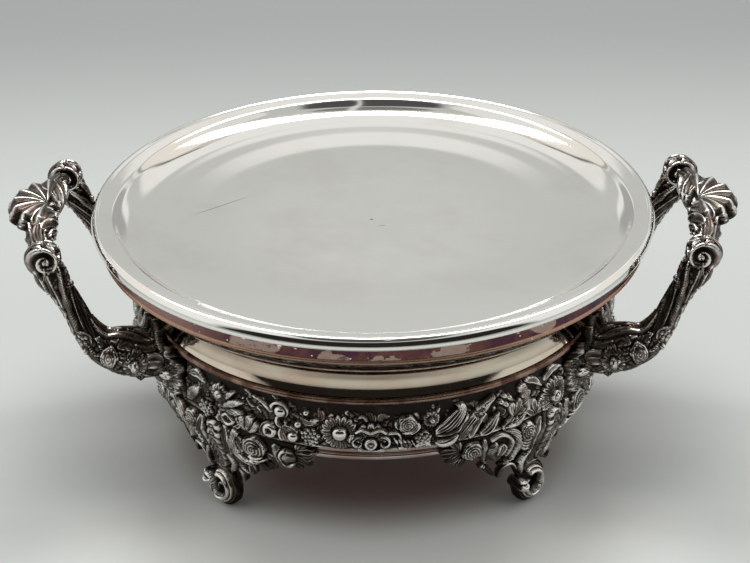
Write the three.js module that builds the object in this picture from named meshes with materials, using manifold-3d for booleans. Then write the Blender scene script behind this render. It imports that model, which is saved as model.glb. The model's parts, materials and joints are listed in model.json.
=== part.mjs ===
// Plate warmer: a lift-off dish over a hot-water pan, in a footed base with two loop handles.
// Millimetres, +Z up, X along the handles, origin on the floor under the middle of the dish.
import * as THREE from 'three';
import { mergeVertices } from 'three/addons/utils/BufferGeometryUtils.js';
import Module from 'manifold-3d';

const wasm = await Module();
wasm.setup();

// Fits
const fit = 0.3;                // gap between two pieces that touch
const slack = 0.5;              // all round a piece that lifts off
const roundFacets = 48;         // flats round every ring; a multiple of 8, so the feet line up
const roundSides = 8;           // flats round a small rod or bar

// Dish
const dishRadius = 145;         // outside of the rolled edge
const dishSheet = 1.2;
const rimWidth = 19;            // from the outside of the rolled edge to the flat of the well
const wellDepth = 7.8;          // well floor to the middle of the rolled edge
const edgeRoll = 3.25;
const edgeSheet = 1;
const edgeWire = 1.85;
const skirtInset = 5.1;         // outside of the skirt, in from the outside of the rolled edge
const skirtWall = 1;
const skirtHeight = 9.3;
const lipHeight = 2.4;
const lipProud = 0.9;

// Base, from the floor up
const underHeight = 48;         // floor to the underside of the body
const mouldingHeight = 8.5;
const galleryHeight = 26;
const waistWire = 1.6;          // radius of the wire round the waist
const coveHeight = 20.4;
const shoulderHeight = 11.9;
const bodySheet = 1.2;
const bodyInset = 28.5;         // plain wall behind the gallery, in from the dish's edge
const footingStep = 4.5;        // wall behind the lower moulding, in from the wall above it
const coveRadius = 13.3;        // hollow of the cove, in section
const coveBite = 1.5;           // how far the cove cuts in behind the plain wall
const shoulderReach = 10.1;     // overhang of the rounded shoulder above the cove
const mouldingProud = 3.1;
const galleryRelief = 2.6;
const flowerDepth = 0.32;       // depth of a flower of the band, as a share of its radius
const collarHeight = 5.5;
const collarWall = 1.4;
const basePlateSheet = 1.5;

// Water pan
const panInset = 8.5;           // side of the pan, in from the wall of the body
const panSheet = 1;
const panFloorGap = 5;          // room for the nuts under the pan
const panCorner = 4;

// Feet
const footAngle = 45;           // degrees from the handle axis
const footInset = 5.5;          // front face of the scroll, in from the wall of the body
const scrollRadius = 10.5;
const scrollDepth = 12;
const scrollBand = 3.6;
const scrollWeb = 3;
const padSink = 0.6;            // the scroll is flattened this much where it stands
const scrollKnob = 3.4;
const legWidth = 10;
const legThickness = 8.5;
const leafSpread = 55;          // reach of a leaf bracket to either side of the leg
const leafThickness = 4.2;
const leafDrop = 38;            // depth of a leaf bracket beside the leg
const leafSplay = 13;           // how far its lower edge lies in from its upper edge
const roseRadius = 7.5;
const roseRise = 3.2;
const footStudInset = 8;        // middle of the foot studs, in from the wall behind the moulding
const studRadius = 2;
const nutRadius = 4.2;
const nutHeight = 2.4;
const legPad = 3.5;             // thickness of the leg where the stud stands on it

// Handles
const bracketSpan = 141.4;      // width of the leafy bracket at each handle
const bracketProud = 10.5;      // outside of the bracket, out from the wall of the body
const bracketRise = 14.5;       // above the waist
const bracketSheet = 5;         // thickness of the bracket at its lower edge
const bracketTip = 1.6;         // thickness at its upper edge
const armAngle = 24;            // degrees from the handle axis to each root
const rootRise = 15.5;          // middle of the roots above the bottom of the gallery
const armRadius = 6.2;
const rootFlare = 13;           // radius of an arm where it springs from the bracket
const knuckleGap = 20;          // middle of the knuckle, out from the dish's edge
const knuckleSpread = 47;
const knuckleDrop = 4.8;        // middle of the knuckle, below the middle of the rolled edge
const knuckleRadius = 9.3;
const gripRadius = 5.6;
const gripBow = 5.5;            // middle of the grip, out from the knuckles
const gripArch = 3;             // middle of the grip, up from the knuckles
const shellLength = 18;         // from the middle of the grip to the outermost point of the object
const shellHalfWidth = 27;
const shellThickness = 4;
const shellRibs = 7;
const shellScallop = 0.09;      // depth of the scallops, as a share of the shell's reach
const shellStem = 6;            // half the width of the shell's hinge end

// Levels that follow from the stack
const galleryBottom = underHeight + mouldingHeight;
const waist = galleryBottom + galleryHeight;
const coveBottom = waist + 2 * waistWire;
const shoulderBottom = coveBottom + coveHeight;
const bodyTop = shoulderBottom + shoulderHeight + bodySheet;
const panTop = bodyTop + fit + panSheet;
const wellFloor = panTop + fit + dishSheet;
const rollHeight = wellFloor + wellDepth;
const rootHeight = galleryBottom + rootRise;
const knuckleHeight = rollHeight - knuckleDrop;
const gripHeight = knuckleHeight + gripArch;

// Distances from the middle that follow from the dish
const rollCentre = dishRadius - edgeRoll;
const wellRadius = dishRadius - rimWidth;
const skirtRadius = dishRadius - skirtInset;
const shoulderRadius = skirtRadius - skirtWall - slack;
const bodyRadius = dishRadius - bodyInset;
const footingRadius = bodyRadius - footingStep;
const galleryInner = bodyRadius + fit;
const panRadius = bodyRadius - panInset;
const legTop = galleryBottom - fit;
const ornamentInner = footingRadius + mouldingProud + 2 * fit;
const footReach = bodyRadius - footInset;
const footStudRing = footingRadius - footStudInset;
const bracketRadius = bodyRadius + bracketProud;
const knuckleReach = dishRadius + knuckleGap;
const gripReach = knuckleReach + gripBow;
const shellReach = gripReach + shellLength;

const finish = {
  silver: { color: 0xc9c8c2, roughness: 0.24, metalness: 1 },
  copper: { color: 0x8a5a50, roughness: 0.34, metalness: 1 },
  tinned: { color: 0xa9a59c, roughness: 0.5, metalness: 1 },
  worn: { color: 0xb4a391, roughness: 0.22, metalness: 1 },
  cast: { color: 0x5b5650, roughness: 0.4, metalness: 1 },
};

const turn = THREE.MathUtils.degToRad;

function named(name, geometry, look) {
  const mesh = new THREE.Mesh(geometry, new THREE.MeshStandardMaterial(finish[look]));
  mesh.name = name;
  return mesh;
}

// Joining and cutting
function toSolid(geometry) {
  const bare = geometry.clone();
  bare.deleteAttribute('normal');
  bare.deleteAttribute('uv');
  const merged = mergeVertices(bare, 1e-4);
  const corners = merged.index.array;
  const kept = [];
  for (let i = 0; i < corners.length; i += 3) {
    const [a, b, c] = [corners[i], corners[i + 1], corners[i + 2]];
    if (a !== b && b !== c && c !== a) kept.push(a, b, c);
  }
  return new wasm.Manifold(new wasm.Mesh({
    numProp: 3,
    vertProperties: new Float32Array(merged.attributes.position.array),
    triVerts: new Uint32Array(kept),
  }));
}

function toGeometry(solid) {
  const mesh = solid.getMesh();
  const geometry = new THREE.BufferGeometry();
  geometry.setAttribute('position', new THREE.BufferAttribute(mesh.vertProperties, 3));
  geometry.setIndex(new THREE.BufferAttribute(mesh.triVerts, 1));
  geometry.computeVertexNormals();
  return geometry;
}

const joined = (...shapes) => shapes.map(toSolid).reduce((sum, next) => sum.add(next));
const cut = (solid, ...tools) => tools.map(toSolid).reduce((left, tool) => left.subtract(tool), solid);

// Shapes
// A ring from its section: [radius, height] points, anticlockwise with the axis on the left.
function ring(section) {
  const points = section.map(([radius, height]) => new THREE.Vector2(Math.max(radius, 0), height));
  if (section[0][0] > 0) points.push(points[0].clone());
  return new THREE.LatheGeometry(points, roundFacets).rotateX(Math.PI / 2);
}

// Points of an arc in section, from one angle to another, in degrees.
function arc(radius, height, across, up, from, to, steps) {
  return Array.from({ length: steps + 1 }, (_, i) => {
    const angle = turn(from + (to - from) * i / steps);
    return [radius + across * Math.cos(angle), height + up * Math.sin(angle)];
  });
}

function outline(points) {
  return new THREE.Shape(points.map(([x, y]) => new THREE.Vector2(x, y)));
}

// A slab with the given face, seen along +X (across, height), between two distances along X.
function slabAlongX(face, from, to) {
  return new THREE.ExtrudeGeometry(face, { depth: to - from, bevelEnabled: false, curveSegments: 7 })
    .rotateX(Math.PI / 2).rotateZ(Math.PI / 2).translate(from, 0, 0);
}

// A slab with the given face, seen along +Y (distance out, height), centred on the X axis.
function slabAcross(face, width) {
  return new THREE.ExtrudeGeometry(face, { depth: width, bevelEnabled: false })
    .rotateX(Math.PI / 2).translate(0, width / 2, 0);
}

// A round bar along a smooth line through the given points.
function bar(points, radius, steps) {
  const path = new THREE.CatmullRomCurve3(points.map((p) => new THREE.Vector3(...p)));
  const section = new THREE.Shape().absarc(0, 0, radius, 0, 2 * Math.PI);
  return new THREE.ExtrudeGeometry(section, { steps, curveSegments: roundSides / 2, extrudePath: path });
}

// A round bar that changes thickness along a smooth line: each point is [x, y, z, radius].
function taperedBar(points, steps) {
  const path = new THREE.CatmullRomCurve3(points.map(([x, y, z]) => new THREE.Vector3(x, y, z)));
  const girth = new THREE.CatmullRomCurve3(points.map((point) => new THREE.Vector3(point[3], 0, 0)));
  const { normals, binormals } = path.computeFrenetFrames(steps);
  const corners = [];
  for (let i = 0; i <= steps; i += 1) {
    const centre = path.getPointAt(i / steps);
    const radius = girth.getPoint(path.getUtoTmapping(i / steps)).x;
    for (let j = 0; j < roundSides; j += 1) {
      const angle = 2 * Math.PI * j / roundSides;
      corners.push(centre.clone()
        .addScaledVector(normals[i], radius * Math.cos(angle))
        .addScaledVector(binormals[i], radius * Math.sin(angle)));
    }
  }
  const faces = [];
  const last = steps * roundSides;
  for (let j = 0; j < roundSides; j += 1) {
    const next = (j + 1) % roundSides;
    for (let at = 0; at < last; at += roundSides) {
      const above = at + roundSides;
      faces.push(at + j, at + next, above + j, at + next, above + next, above + j);
    }
    if (j > 0) faces.push(0, next, j, last, last + j, last + next);
  }
  return new THREE.BufferGeometry().setFromPoints(corners).setIndex(faces);
}

function box(size, centre) {
  return new THREE.BoxGeometry(...size).translate(...centre);
}

function ball(radius, scale, centre, rows = 6) {
  return new THREE.SphereGeometry(radius, roundSides, rows)
    .rotateX(Math.PI / 2).scale(...scale).translate(...centre);
}

// A short round rod that points away from the Z axis at the given angle and height.
function radialRod(radius, from, to, angle, height, sides = roundSides) {
  return new THREE.CylinderGeometry(radius, radius, to - from, sides)
    .rotateZ(Math.PI / 2).translate((from + to) / 2, 0, height).rotateZ(turn(angle));
}

function uprightRod(radius, from, to, centre, sides = roundSides) {
  return new THREE.CylinderGeometry(radius, radius, to - from, sides)
    .rotateX(Math.PI / 2).translate(...centre, (from + to) / 2);
}

// Where the feet and the handle roots are, in degrees round the body
const footTurns = { front_right: -footAngle, back_right: footAngle,
  back_left: 180 - footAngle, front_left: footAngle - 180 };
const rootTurns = [-armAngle, armAngle, 180 - armAngle, 180 + armAngle];

// Dish
function dishPlate() {
  const boogeTop = [rollCentre - edgeRoll, rollHeight];
  const lean = 0.4;             // the rise between well and edge is offset this much sideways by its sheet
  const booge = (lift) => [0.35, 0.7].map((share) => [
    wellRadius + (boogeTop[0] - wellRadius) * share - lift * lean,
    wellFloor + (boogeTop[1] - wellFloor) * share ** 2 + lift,
  ]);
  const rollFrom = 160;
  const rollTo = -120;
  const rollSteps = 5;
  return ring([
    [0, wellFloor - dishSheet],
    [wellRadius, wellFloor - dishSheet],
    ...booge(-dishSheet),
    ...arc(rollCentre, rollHeight, edgeRoll - edgeSheet, edgeRoll - edgeSheet, rollFrom, rollTo, rollSteps),
    ...arc(rollCentre, rollHeight, edgeRoll, edgeRoll, rollTo, rollFrom, rollSteps),
    ...booge(0).reverse(),
    [wellRadius, wellFloor],
    [0, wellFloor],
  ]);
}

function wireRing(radius, height, wire, sides) {
  return ring(arc(radius, height, wire, wire, 0, 360, sides).slice(0, -1));
}

const skirtTop = rollHeight - edgeRoll;
const skirtBottom = skirtTop - skirtHeight;

function dishSkirt() {
  return ring([
    [skirtRadius - skirtWall, skirtBottom], [skirtRadius, skirtBottom],
    [skirtRadius, skirtTop], [skirtRadius - skirtWall, skirtTop],
  ]);
}

function skirtLip() {
  const inner = skirtRadius + fit;
  const top = skirtBottom + lipHeight;
  return ring([
    [inner, skirtBottom], [inner + lipProud, skirtBottom], [inner + lipProud / 2, top], [inner, top],
  ]);
}

// Water pan
function waterPan() {
  const floor = underHeight + basePlateSheet + panFloorGap;
  const inside = panRadius - panSheet;
  const flange = shoulderRadius - collarWall - slack;
  return ring([
    [0, floor], [panRadius - panCorner, floor], [panRadius, floor + panCorner],
    [panRadius, panTop - panSheet], [flange, panTop - panSheet], [flange, panTop], [inside, panTop],
    [inside, floor + panCorner], [inside - panCorner + panSheet, floor + panSheet], [0, floor + panSheet],
  ]);
}

// Base
function bodyShell() {
  const coveCentre = [bodyRadius - coveBite + coveRadius, coveBottom + coveHeight - coveRadius];
  const coveLow = -THREE.MathUtils.radToDeg(Math.asin(Math.min(1, (coveHeight - coveRadius) / coveRadius)));
  const lip = shoulderRadius - shoulderReach;
  const outside = [
    [footingRadius, underHeight], [footingRadius, galleryBottom], [bodyRadius, galleryBottom],
    [bodyRadius, coveBottom],
    ...arc(...coveCentre, -coveRadius, coveRadius, coveLow, 80, 4),
    ...arc(lip, bodyTop - bodySheet, shoulderReach, shoulderHeight, -60, 0, 2),
    [shoulderRadius, bodyTop],
  ];
  const inside = [
    [lip - bodySheet, bodyTop],
    ...arc(...coveCentre, -coveRadius - bodySheet, coveRadius + bodySheet, 70, coveLow, 3),
    [bodyRadius - bodySheet, coveBottom - bodySheet], [bodyRadius - bodySheet, galleryBottom + bodySheet],
    [footingRadius - bodySheet, galleryBottom + bodySheet], [footingRadius - bodySheet, underHeight],
  ];
  const bolts = rootTurns.map((at) => radialRod(studRadius + fit, footingRadius - bodySheet - slack,
    bodyRadius + slack, at, rootHeight));
  return toGeometry(cut(toSolid(ring([...outside, ...inside])), ...bolts));
}

function collarRing() {
  const bottom = bodyTop + fit;
  return ring([
    [shoulderRadius - collarWall, bottom], [shoulderRadius, bottom],
    [shoulderRadius, bottom + collarHeight], [shoulderRadius - collarWall, bottom + collarHeight],
  ]);
}

function baseMoulding() {
  const inner = footingRadius + fit;
  const reed = (legTop - underHeight) / 4;
  const reeds = [1, 3].flatMap((level) => (
    arc(footingRadius + mouldingProud - reed, underHeight + level * reed, reed, reed, -80, 80, 3)));
  return ring([[inner, underHeight], ...reeds, [inner, legTop]]);
}

function basePlate() {
  const radius = footingRadius - bodySheet - fit;
  const studs = Object.values(footTurns).map((at) => {
    const centre = [footStudRing * Math.cos(turn(at)), footStudRing * Math.sin(turn(at))];
    return uprightRod(studRadius + fit, underHeight - fit, underHeight + basePlateSheet + fit, centre);
  });
  const disc = ring([
    [0, underHeight], [radius, underHeight],
    [radius, underHeight + basePlateSheet], [0, underHeight + basePlateSheet],
  ]);
  return toGeometry(cut(toSolid(disc), ...studs));
}

// The flower band, front or back: a ring cut off beside the handle brackets, with flowers in relief.
function gallery(side) {
  const low = galleryBottom + fit;
  const high = waist - fit;
  const rise = high - low;
  const band = ring([
    [galleryInner, low], [galleryInner + galleryRelief * 0.6, low],
    [galleryInner + galleryRelief, low + rise * 0.3], [galleryInner + galleryRelief * 0.4, high],
    [galleryInner, high],
  ]);
  // Distance along the band, level as a share of its height, and radius of each flower
  const flowers = [[0, 0.42, 9], [21, 0.4, 7.5], [44, 0.55, 7], [64, 0.45, 8]];
  const domes = flowers.flatMap(([along, level, size]) => (along ? [along, -along] : [along]).map((at) => (
    ball(size, [flowerDepth, 1, 1], [galleryInner + galleryRelief, 0, low + rise * level], 4)
      .rotateZ(at / galleryInner - Math.PI / 2))));
  const keep = box([3 * bodyRadius, bodyRadius, galleryHeight * 2],
    [0, -(bracketSpan / 2 + fit + bodyRadius / 2), low + rise / 2]);
  const core = ring([[0, low - fit], [galleryInner, low - fit], [galleryInner, high + fit], [0, high + fit]]);
  const floor = box([3 * bodyRadius, 3 * bodyRadius, galleryHeight], [0, 0, low - galleryHeight / 2]);
  const solid = cut(joined(band, ...domes).intersect(toSolid(keep)), core, floor);
  return toGeometry(solid).rotateZ(side === 'front' ? 0 : Math.PI);
}

// Feet: each is built on the +X axis and turned to its place.
function footCasting() {
  const back = footReach - scrollDepth;
  const under = underHeight - fit;
  const seat = footStudRing - nutRadius;
  const leg = outline([
    [ornamentInner, under], [seat, under], [seat, under - legPad],
    [ornamentInner - legThickness * 0.8, under - legThickness],
    [back + legThickness / 2, scrollRadius * 2.4], [back, scrollRadius * 1.8], [back, scrollRadius],
    [back + scrollWeb, scrollRadius], [back + legThickness, scrollRadius * 2],
    [back + legThickness * 1.7, scrollRadius * 2.9],
    [ornamentInner + legThickness * 0.6, under - legThickness],
    [ornamentInner + legThickness * 0.7, under + legPad], [ornamentInner + legThickness * 0.45, legTop],
    [ornamentInner, legTop],
  ]);
  const centre = scrollRadius - padSink;
  const [mouth, tail] = [turn(165), turn(460)];
  const studTop = underHeight + basePlateSheet + nutHeight + fit;
  const band = new THREE.Shape();
  band.absarc(0, centre, scrollRadius, mouth, tail, false);
  band.absarc(0, centre, scrollRadius - scrollBand, tail, mouth, true);
  const web = new THREE.Shape().absarc(0, centre, scrollRadius, 0, 2 * Math.PI);
  const knobCentre = centre + (scrollRadius - scrollBand / 2) * Math.sin(mouth);
  const solid = joined(
    slabAcross(leg, legWidth),
    slabAlongX(band, back, footReach),
    slabAlongX(web, back, back + scrollWeb),
    ball(scrollKnob, [1, 1, 1], [footReach - scrollKnob, -scrollRadius + scrollBand / 2, knobCentre]),
    uprightRod(studRadius, under - legPad / 2, studTop, [footStudRing, 0]),
  );
  const table = box([footReach, footReach, scrollRadius], [footReach, 0, -scrollRadius / 2]);
  return toGeometry(cut(solid, table));
}

// One leaf bracket beside a leg: a splayed sheet cut to a lobed edge, with two roses in relief.
function leafBracket(side) {
  const bottom = legTop - leafDrop;
  const start = legWidth / 2 + fit;
  // Points of the lobed edge, as shares of the spread and of the drop
  const lobes = [[0.93, 0], [1, 0.12], [0.93, 0.26], [0.8, 0.29], [0.71, 0.45], [0.56, 0.53], [0.49, 0.74],
    [0.36, 0.95], [0.25, 1], [0.15, 0.92]];
  const edge = outline([
    [side * start, legTop],
    ...lobes.map(([across, drop]) => [side * leafSpread * across, legTop - leafDrop * drop]),
    [side * start, legTop - leafDrop * 0.84],
  ]);
  const inner = ornamentInner;
  const knee = legTop - mouldingHeight;
  const sheet = ring([
    [inner - leafSplay, bottom], [inner - leafSplay + leafThickness, bottom], [inner + leafThickness, knee],
    [inner + leafThickness * 0.7, legTop], [inner, legTop], [inner, knee - fit],
  ]);
  const rose = (across, drop, size) => {
    const height = legTop - leafDrop * drop;
    const out = inner + leafThickness * 0.6 - leafSplay * Math.max(0, knee - height) / leafDrop;
    return ball(size, [roseRise / roseRadius, 1, 1], [out, 0, height], 4)
      .rotateZ(side * Math.asin(leafSpread * across / out));
  };
  const solid = toSolid(sheet).intersect(toSolid(slabAlongX(edge, 0, 2 * inner)))
    .add(toSolid(rose(0.4, 0.34, roseRadius)))
    .add(toSolid(rose(0.72, 0.25, roseRadius * 0.7)));
  const reach = 3 * leafThickness;
  const under = underHeight - 2 * fit;
  const keep = ring([
    [inner - leafSplay - reach, bottom - reach], [inner + reach, bottom - reach], [inner + reach, legTop],
    [inner, legTop], [inner, under], [inner - leafSplay - reach, under],
  ]);
  return toGeometry(solid.intersect(toSolid(keep)));
}

function footNut() {
  const low = underHeight + basePlateSheet + fit;
  const nut = toSolid(uprightRod(nutRadius, low, low + nutHeight, [footStudRing, 0], 6));
  const bore = uprightRod(studRadius + fit, low - fit, low + nutHeight + fit, [footStudRing, 0]);
  return toGeometry(cut(nut, bore));
}

// Handles: each is built on the +X axis; the left one is turned half round.
const rootFace = bracketRadius + fit;
const studInner = bodyRadius - bodySheet - fit - nutHeight;

function handleBracket() {
  const low = galleryBottom + fit;
  const clearOfWaist = bodyRadius + 2 * fit + 2 * waistWire + 2 * fit;
  const high = waist + bracketRise;
  const band = ring([
    [galleryInner, low], [galleryInner + bracketSheet, low], [bracketRadius, low + bracketSheet],
    [bracketRadius, waist], [clearOfWaist + bracketSheet * 0.8, high - bracketSheet * 0.8],
    [clearOfWaist + bracketTip, high], [clearOfWaist, high], [clearOfWaist, waist - fit],
    [galleryInner, waist - 2 * fit],
  ]);
  const half = bracketSpan / 2;
  // Points of the lobed edge, as shares of half the span and of the height
  const lobes = [[1, 0.2], [0.97, 0.55], [0.86, 0.72], [0.8, 0.62], [0.68, 0.98], [0.52, 1], [0.42, 0.82],
    [0.3, 0.76], [0.16, 0.92]];
  const up = (share) => low + (high - low) * share;
  const edge = outline([
    [-half, low - 1], [half, low - 1],
    ...lobes.map(([across, share]) => [half * across, up(share)]), [0, high + 1],
    ...lobes.toReversed().map(([across, share]) => [-half * across, up(share)]),
  ]);
  const solid = toSolid(band).intersect(toSolid(slabAlongX(edge, 0, 2 * bracketRadius)));
  const studs = [-armAngle, armAngle].map((at) => (
    radialRod(studRadius + fit, studInner, rootFace + studRadius, at, rootHeight)));
  return toGeometry(cut(solid, ...studs));
}

function handleArm(side) {
  const root = [rootFace * Math.cos(turn(armAngle)), side * rootFace * Math.sin(turn(armAngle)), rootHeight];
  const knuckle = [knuckleReach, side * knuckleSpread, knuckleHeight];
  // Way from root to knuckle along X, Y and Z, and how much of the root's flare is left
  const line = [[0, 0, 0.04, 1], [0.24, -0.3, 0.08, 0.85], [0.45, -0.25, 0.15, 0.45], [0.6, 0.1, 0.3, 0.15],
    [0.71, 0.5, 0.49, 0], [0.83, 0.8, 0.7, 0], [1, 1, 1, 0.1]];
  const points = line.map((share) => [
    ...root.map((from, i) => from + (knuckle[i] - from) * share[i]),
    armRadius + (rootFlare - armRadius) * share[3],
  ]);
  const inside = ring([
    [studInner, 0], [rootFace, 0], [rootFace, knuckleHeight], [studInner, knuckleHeight],
  ]);
  const stud = radialRod(studRadius, studInner, rootFace + rootFlare / 2, side * armAngle, rootHeight);
  const solid = joined(taperedBar(points, 9), ball(knuckleRadius, [1, 1, 1], knuckle));
  return toGeometry(cut(solid, inside).add(toSolid(stud)));
}

function handleGrip() {
  const ends = [knuckleReach, knuckleSpread, knuckleHeight];
  const bow = (across, share) => [
    ends[0] + (gripReach - ends[0]) * share, across, ends[2] + (gripHeight - ends[2]) * share];
  const line = bar([bow(-ends[1] * 0.9, 0.2), bow(-ends[1] * 0.5, 0.8), bow(0, 1), bow(ends[1] * 0.5, 0.8),
    bow(ends[1] * 0.9, 0.2)], gripRadius, 6);
  const seats = [-1, 1].map((side) => (
    ball(knuckleRadius + fit, [1, 1, 1], [ends[0], side * ends[1], ends[2]])));
  return toGeometry(cut(toSolid(line), ...seats));
}

function handleShell() {
  const hinge = gripReach - gripRadius;
  const reach = shellReach - hinge;
  const steps = shellRibs * 4;
  const rim = Array.from({ length: steps + 1 }, (_, i) => {
    const angle = Math.PI * i / steps;
    const scallop = 1 - shellScallop * (1 - Math.abs(Math.sin(shellRibs * angle)));
    return [hinge + reach * Math.sin(angle) * scallop, -shellHalfWidth * Math.cos(angle) * scallop];
  });
  rim.push([hinge - shellStem / 2, shellStem], [hinge - shellStem / 2, -shellStem]);
  return new THREE.ExtrudeGeometry(outline(rim), { depth: shellThickness, bevelEnabled: false })
    .translate(0, 0, gripHeight + gripRadius + fit);
}

function handleNut(side) {
  const at = side * armAngle;
  const outer = studInner + nutHeight;
  const nut = toSolid(radialRod(nutRadius, studInner, outer, at, rootHeight, 6));
  return toGeometry(cut(nut, radialRod(studRadius + fit, studInner - fit, outer + fit, at, rootHeight)));
}

// Assembly
const plateWarmer = new THREE.Group();
plateWarmer.add(
  named('dish_plate', dishPlate(), 'silver'),
  named('dish_edge_wire', wireRing(rollCentre, rollHeight, edgeWire, 6), 'copper'),
  named('dish_skirt', dishSkirt(), 'copper'),
  named('skirt_lip', skirtLip(), 'copper'),
  named('water_pan', waterPan(), 'tinned'),
  named('body_shell', bodyShell(), 'worn'),
  named('collar_ring', collarRing(), 'worn'),
  named('waist_bead', wireRing(bodyRadius + fit + waistWire, waist + waistWire, waistWire, 6), 'copper'),
  named('base_moulding', baseMoulding(), 'worn'),
  named('base_plate', basePlate(), 'tinned'),
  named('gallery_front', gallery('front'), 'cast'),
  named('gallery_back', gallery('back'), 'cast'),
);

for (const [place, at] of Object.entries(footTurns)) {
  const foot = new THREE.Group();
  foot.rotation.z = turn(at);
  foot.add(
    named(`foot_${place}`, footCasting(), 'cast'),
    named(`leaf_${place}_near`, leafBracket(-1), 'cast'),
    named(`leaf_${place}_far`, leafBracket(1), 'cast'),
    named(`foot_nut_${place}`, footNut(), 'tinned'),
  );
  plateWarmer.add(foot);
}

for (const [place, at] of [['right', 0], ['left', 180]]) {
  const handle = new THREE.Group();
  handle.rotation.z = turn(at);
  handle.add(
    named(`bracket_${place}`, handleBracket(), 'cast'),
    named(`arm_${place}_a`, handleArm(-1), 'cast'),
    named(`arm_${place}_b`, handleArm(1), 'cast'),
    named(`grip_${place}`, handleGrip(), 'cast'),
    named(`shell_${place}`, handleShell(), 'cast'),
    named(`handle_nut_${place}_a`, handleNut(-1), 'tinned'),
    named(`handle_nut_${place}_b`, handleNut(1), 'tinned'),
  );
  plateWarmer.add(handle);
}

export default plateWarmer;
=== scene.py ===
import json
import math
import random

import bmesh
import bpy
import numpy as np
from mathutils import Matrix, Vector


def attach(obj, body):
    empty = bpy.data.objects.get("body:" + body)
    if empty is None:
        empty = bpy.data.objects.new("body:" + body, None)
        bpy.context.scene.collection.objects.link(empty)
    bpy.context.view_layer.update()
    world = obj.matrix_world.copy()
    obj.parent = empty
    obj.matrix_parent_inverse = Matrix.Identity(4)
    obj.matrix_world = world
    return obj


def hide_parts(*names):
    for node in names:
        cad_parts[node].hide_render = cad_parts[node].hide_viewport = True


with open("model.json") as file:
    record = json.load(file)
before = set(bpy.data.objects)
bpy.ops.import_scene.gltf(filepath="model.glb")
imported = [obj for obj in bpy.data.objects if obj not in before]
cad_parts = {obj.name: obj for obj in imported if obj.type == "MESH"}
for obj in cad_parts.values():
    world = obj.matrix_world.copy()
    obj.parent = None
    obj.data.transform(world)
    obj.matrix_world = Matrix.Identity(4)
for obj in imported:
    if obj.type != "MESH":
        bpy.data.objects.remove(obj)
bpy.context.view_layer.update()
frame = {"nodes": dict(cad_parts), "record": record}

# Sizes below are in millimetres, heights from the table; mm turns them into Blender's metres
mm = 0.001
finishes = {}


# Meshes
def linkPiece(name, mesh, finish):
    piece = bpy.data.objects.new(name, mesh)
    bpy.context.scene.collection.objects.link(piece)
    mesh.materials.clear()
    mesh.materials.append(finishes[finish])
    return piece


def pointOutwards(mesh):
    shape = bmesh.new()
    shape.from_mesh(mesh)
    bmesh.ops.recalc_face_normals(shape, faces=shape.faces)
    shape.to_mesh(mesh)
    shape.free()
    mesh.shade_smooth()


def meshOf(name, points, faces, wear=None):
    mesh = bpy.data.meshes.new(name)
    mesh.from_pydata((np.asarray(points, float) * mm).tolist(), [], faces)
    if wear is not None:
        mesh.attributes.new("wear", "FLOAT", "POINT").data.foreach_set("value", np.asarray(wear, np.float32))
    pointOutwards(mesh)
    return mesh


def arcPoints(centre, across, upward, start, end, steps):
    angles = np.radians(np.linspace(start, end, steps + 1))
    return [(centre[0] + across * math.cos(a), centre[1] + upward * math.sin(a)) for a in angles]


def smoothLine(points, steps=8):
    # a Catmull-Rom curve through the points
    points = np.asarray(points, float)
    if len(points) < 3:
        return np.linspace(points[0], points[-1], steps + 1)
    ends = np.vstack([2 * points[0] - points[1], points, 2 * points[-1] - points[-2]])
    line = []
    for a, b, c, d in zip(ends, ends[1:], ends[2:], ends[3:]):
        for t in np.arange(steps) / steps:
            line.append(0.5 * (2 * b + (c - a) * t + (2 * a - 5 * b + 4 * c - d) * t ** 2
                               + (3 * b - a - 3 * c + d) * t ** 3))
    return np.array([*line, points[-1]])


def turned(section, facets):
    # the section runs from the axis out and back to the axis, as (radius, height)
    points, faces, rings = [], [], []
    for radius, height in section:
        rings.append([len(points) + (i if radius else 0) for i in range(facets)])
        for i in range(facets if radius else 1):
            angle = 2 * math.pi * i / facets
            points.append((radius * math.cos(angle), radius * math.sin(angle), height))
    for inner, outer in zip(rings, rings[1:]):
        for i in range(facets):
            j = (i + 1) % facets
            faces.append(list(dict.fromkeys([inner[i], outer[i], outer[j], inner[j]])))
    return points, faces


def turnedPiece(name, section, finish, facets, sharp):
    # edges past the sharp angle stay crisp
    mesh = meshOf(name, *turned(section, facets))
    mesh.set_sharp_from_angle(angle=math.radians(sharp))
    return linkPiece(name, mesh, finish)


# Geometry Nodes
def nodeTree(name, inputs, kinds):
    # a tree with its own inputs, and one node of each kind between them and the realized, painted result
    tree = bpy.data.node_groups.new(name, "GeometryNodeTree")
    tree.interface.new_socket("Geometry", in_out="INPUT", socket_type="NodeSocketGeometry")
    for label, kind in inputs:
        tree.interface.new_socket(label, in_out="INPUT", socket_type=kind)
    tree.interface.new_socket("Geometry", in_out="OUTPUT", socket_type="NodeSocketGeometry")
    given, realize, finish, out = (tree.nodes.new(kind) for kind in (
        "NodeGroupInput", "GeometryNodeRealizeInstances", "GeometryNodeSetMaterial", "NodeGroupOutput"))
    join(tree, (realize, "Geometry", finish, "Geometry"), (given, "Finish", finish, "Material"),
         (finish, "Geometry", out, "Geometry"))
    return tree, given, realize, *(tree.nodes.new(kind) for kind in kinds)


def join(tree, *wires):
    for start, output, end, entry in wires:
        tree.links.new(start.outputs[output], end.inputs[entry])


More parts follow.
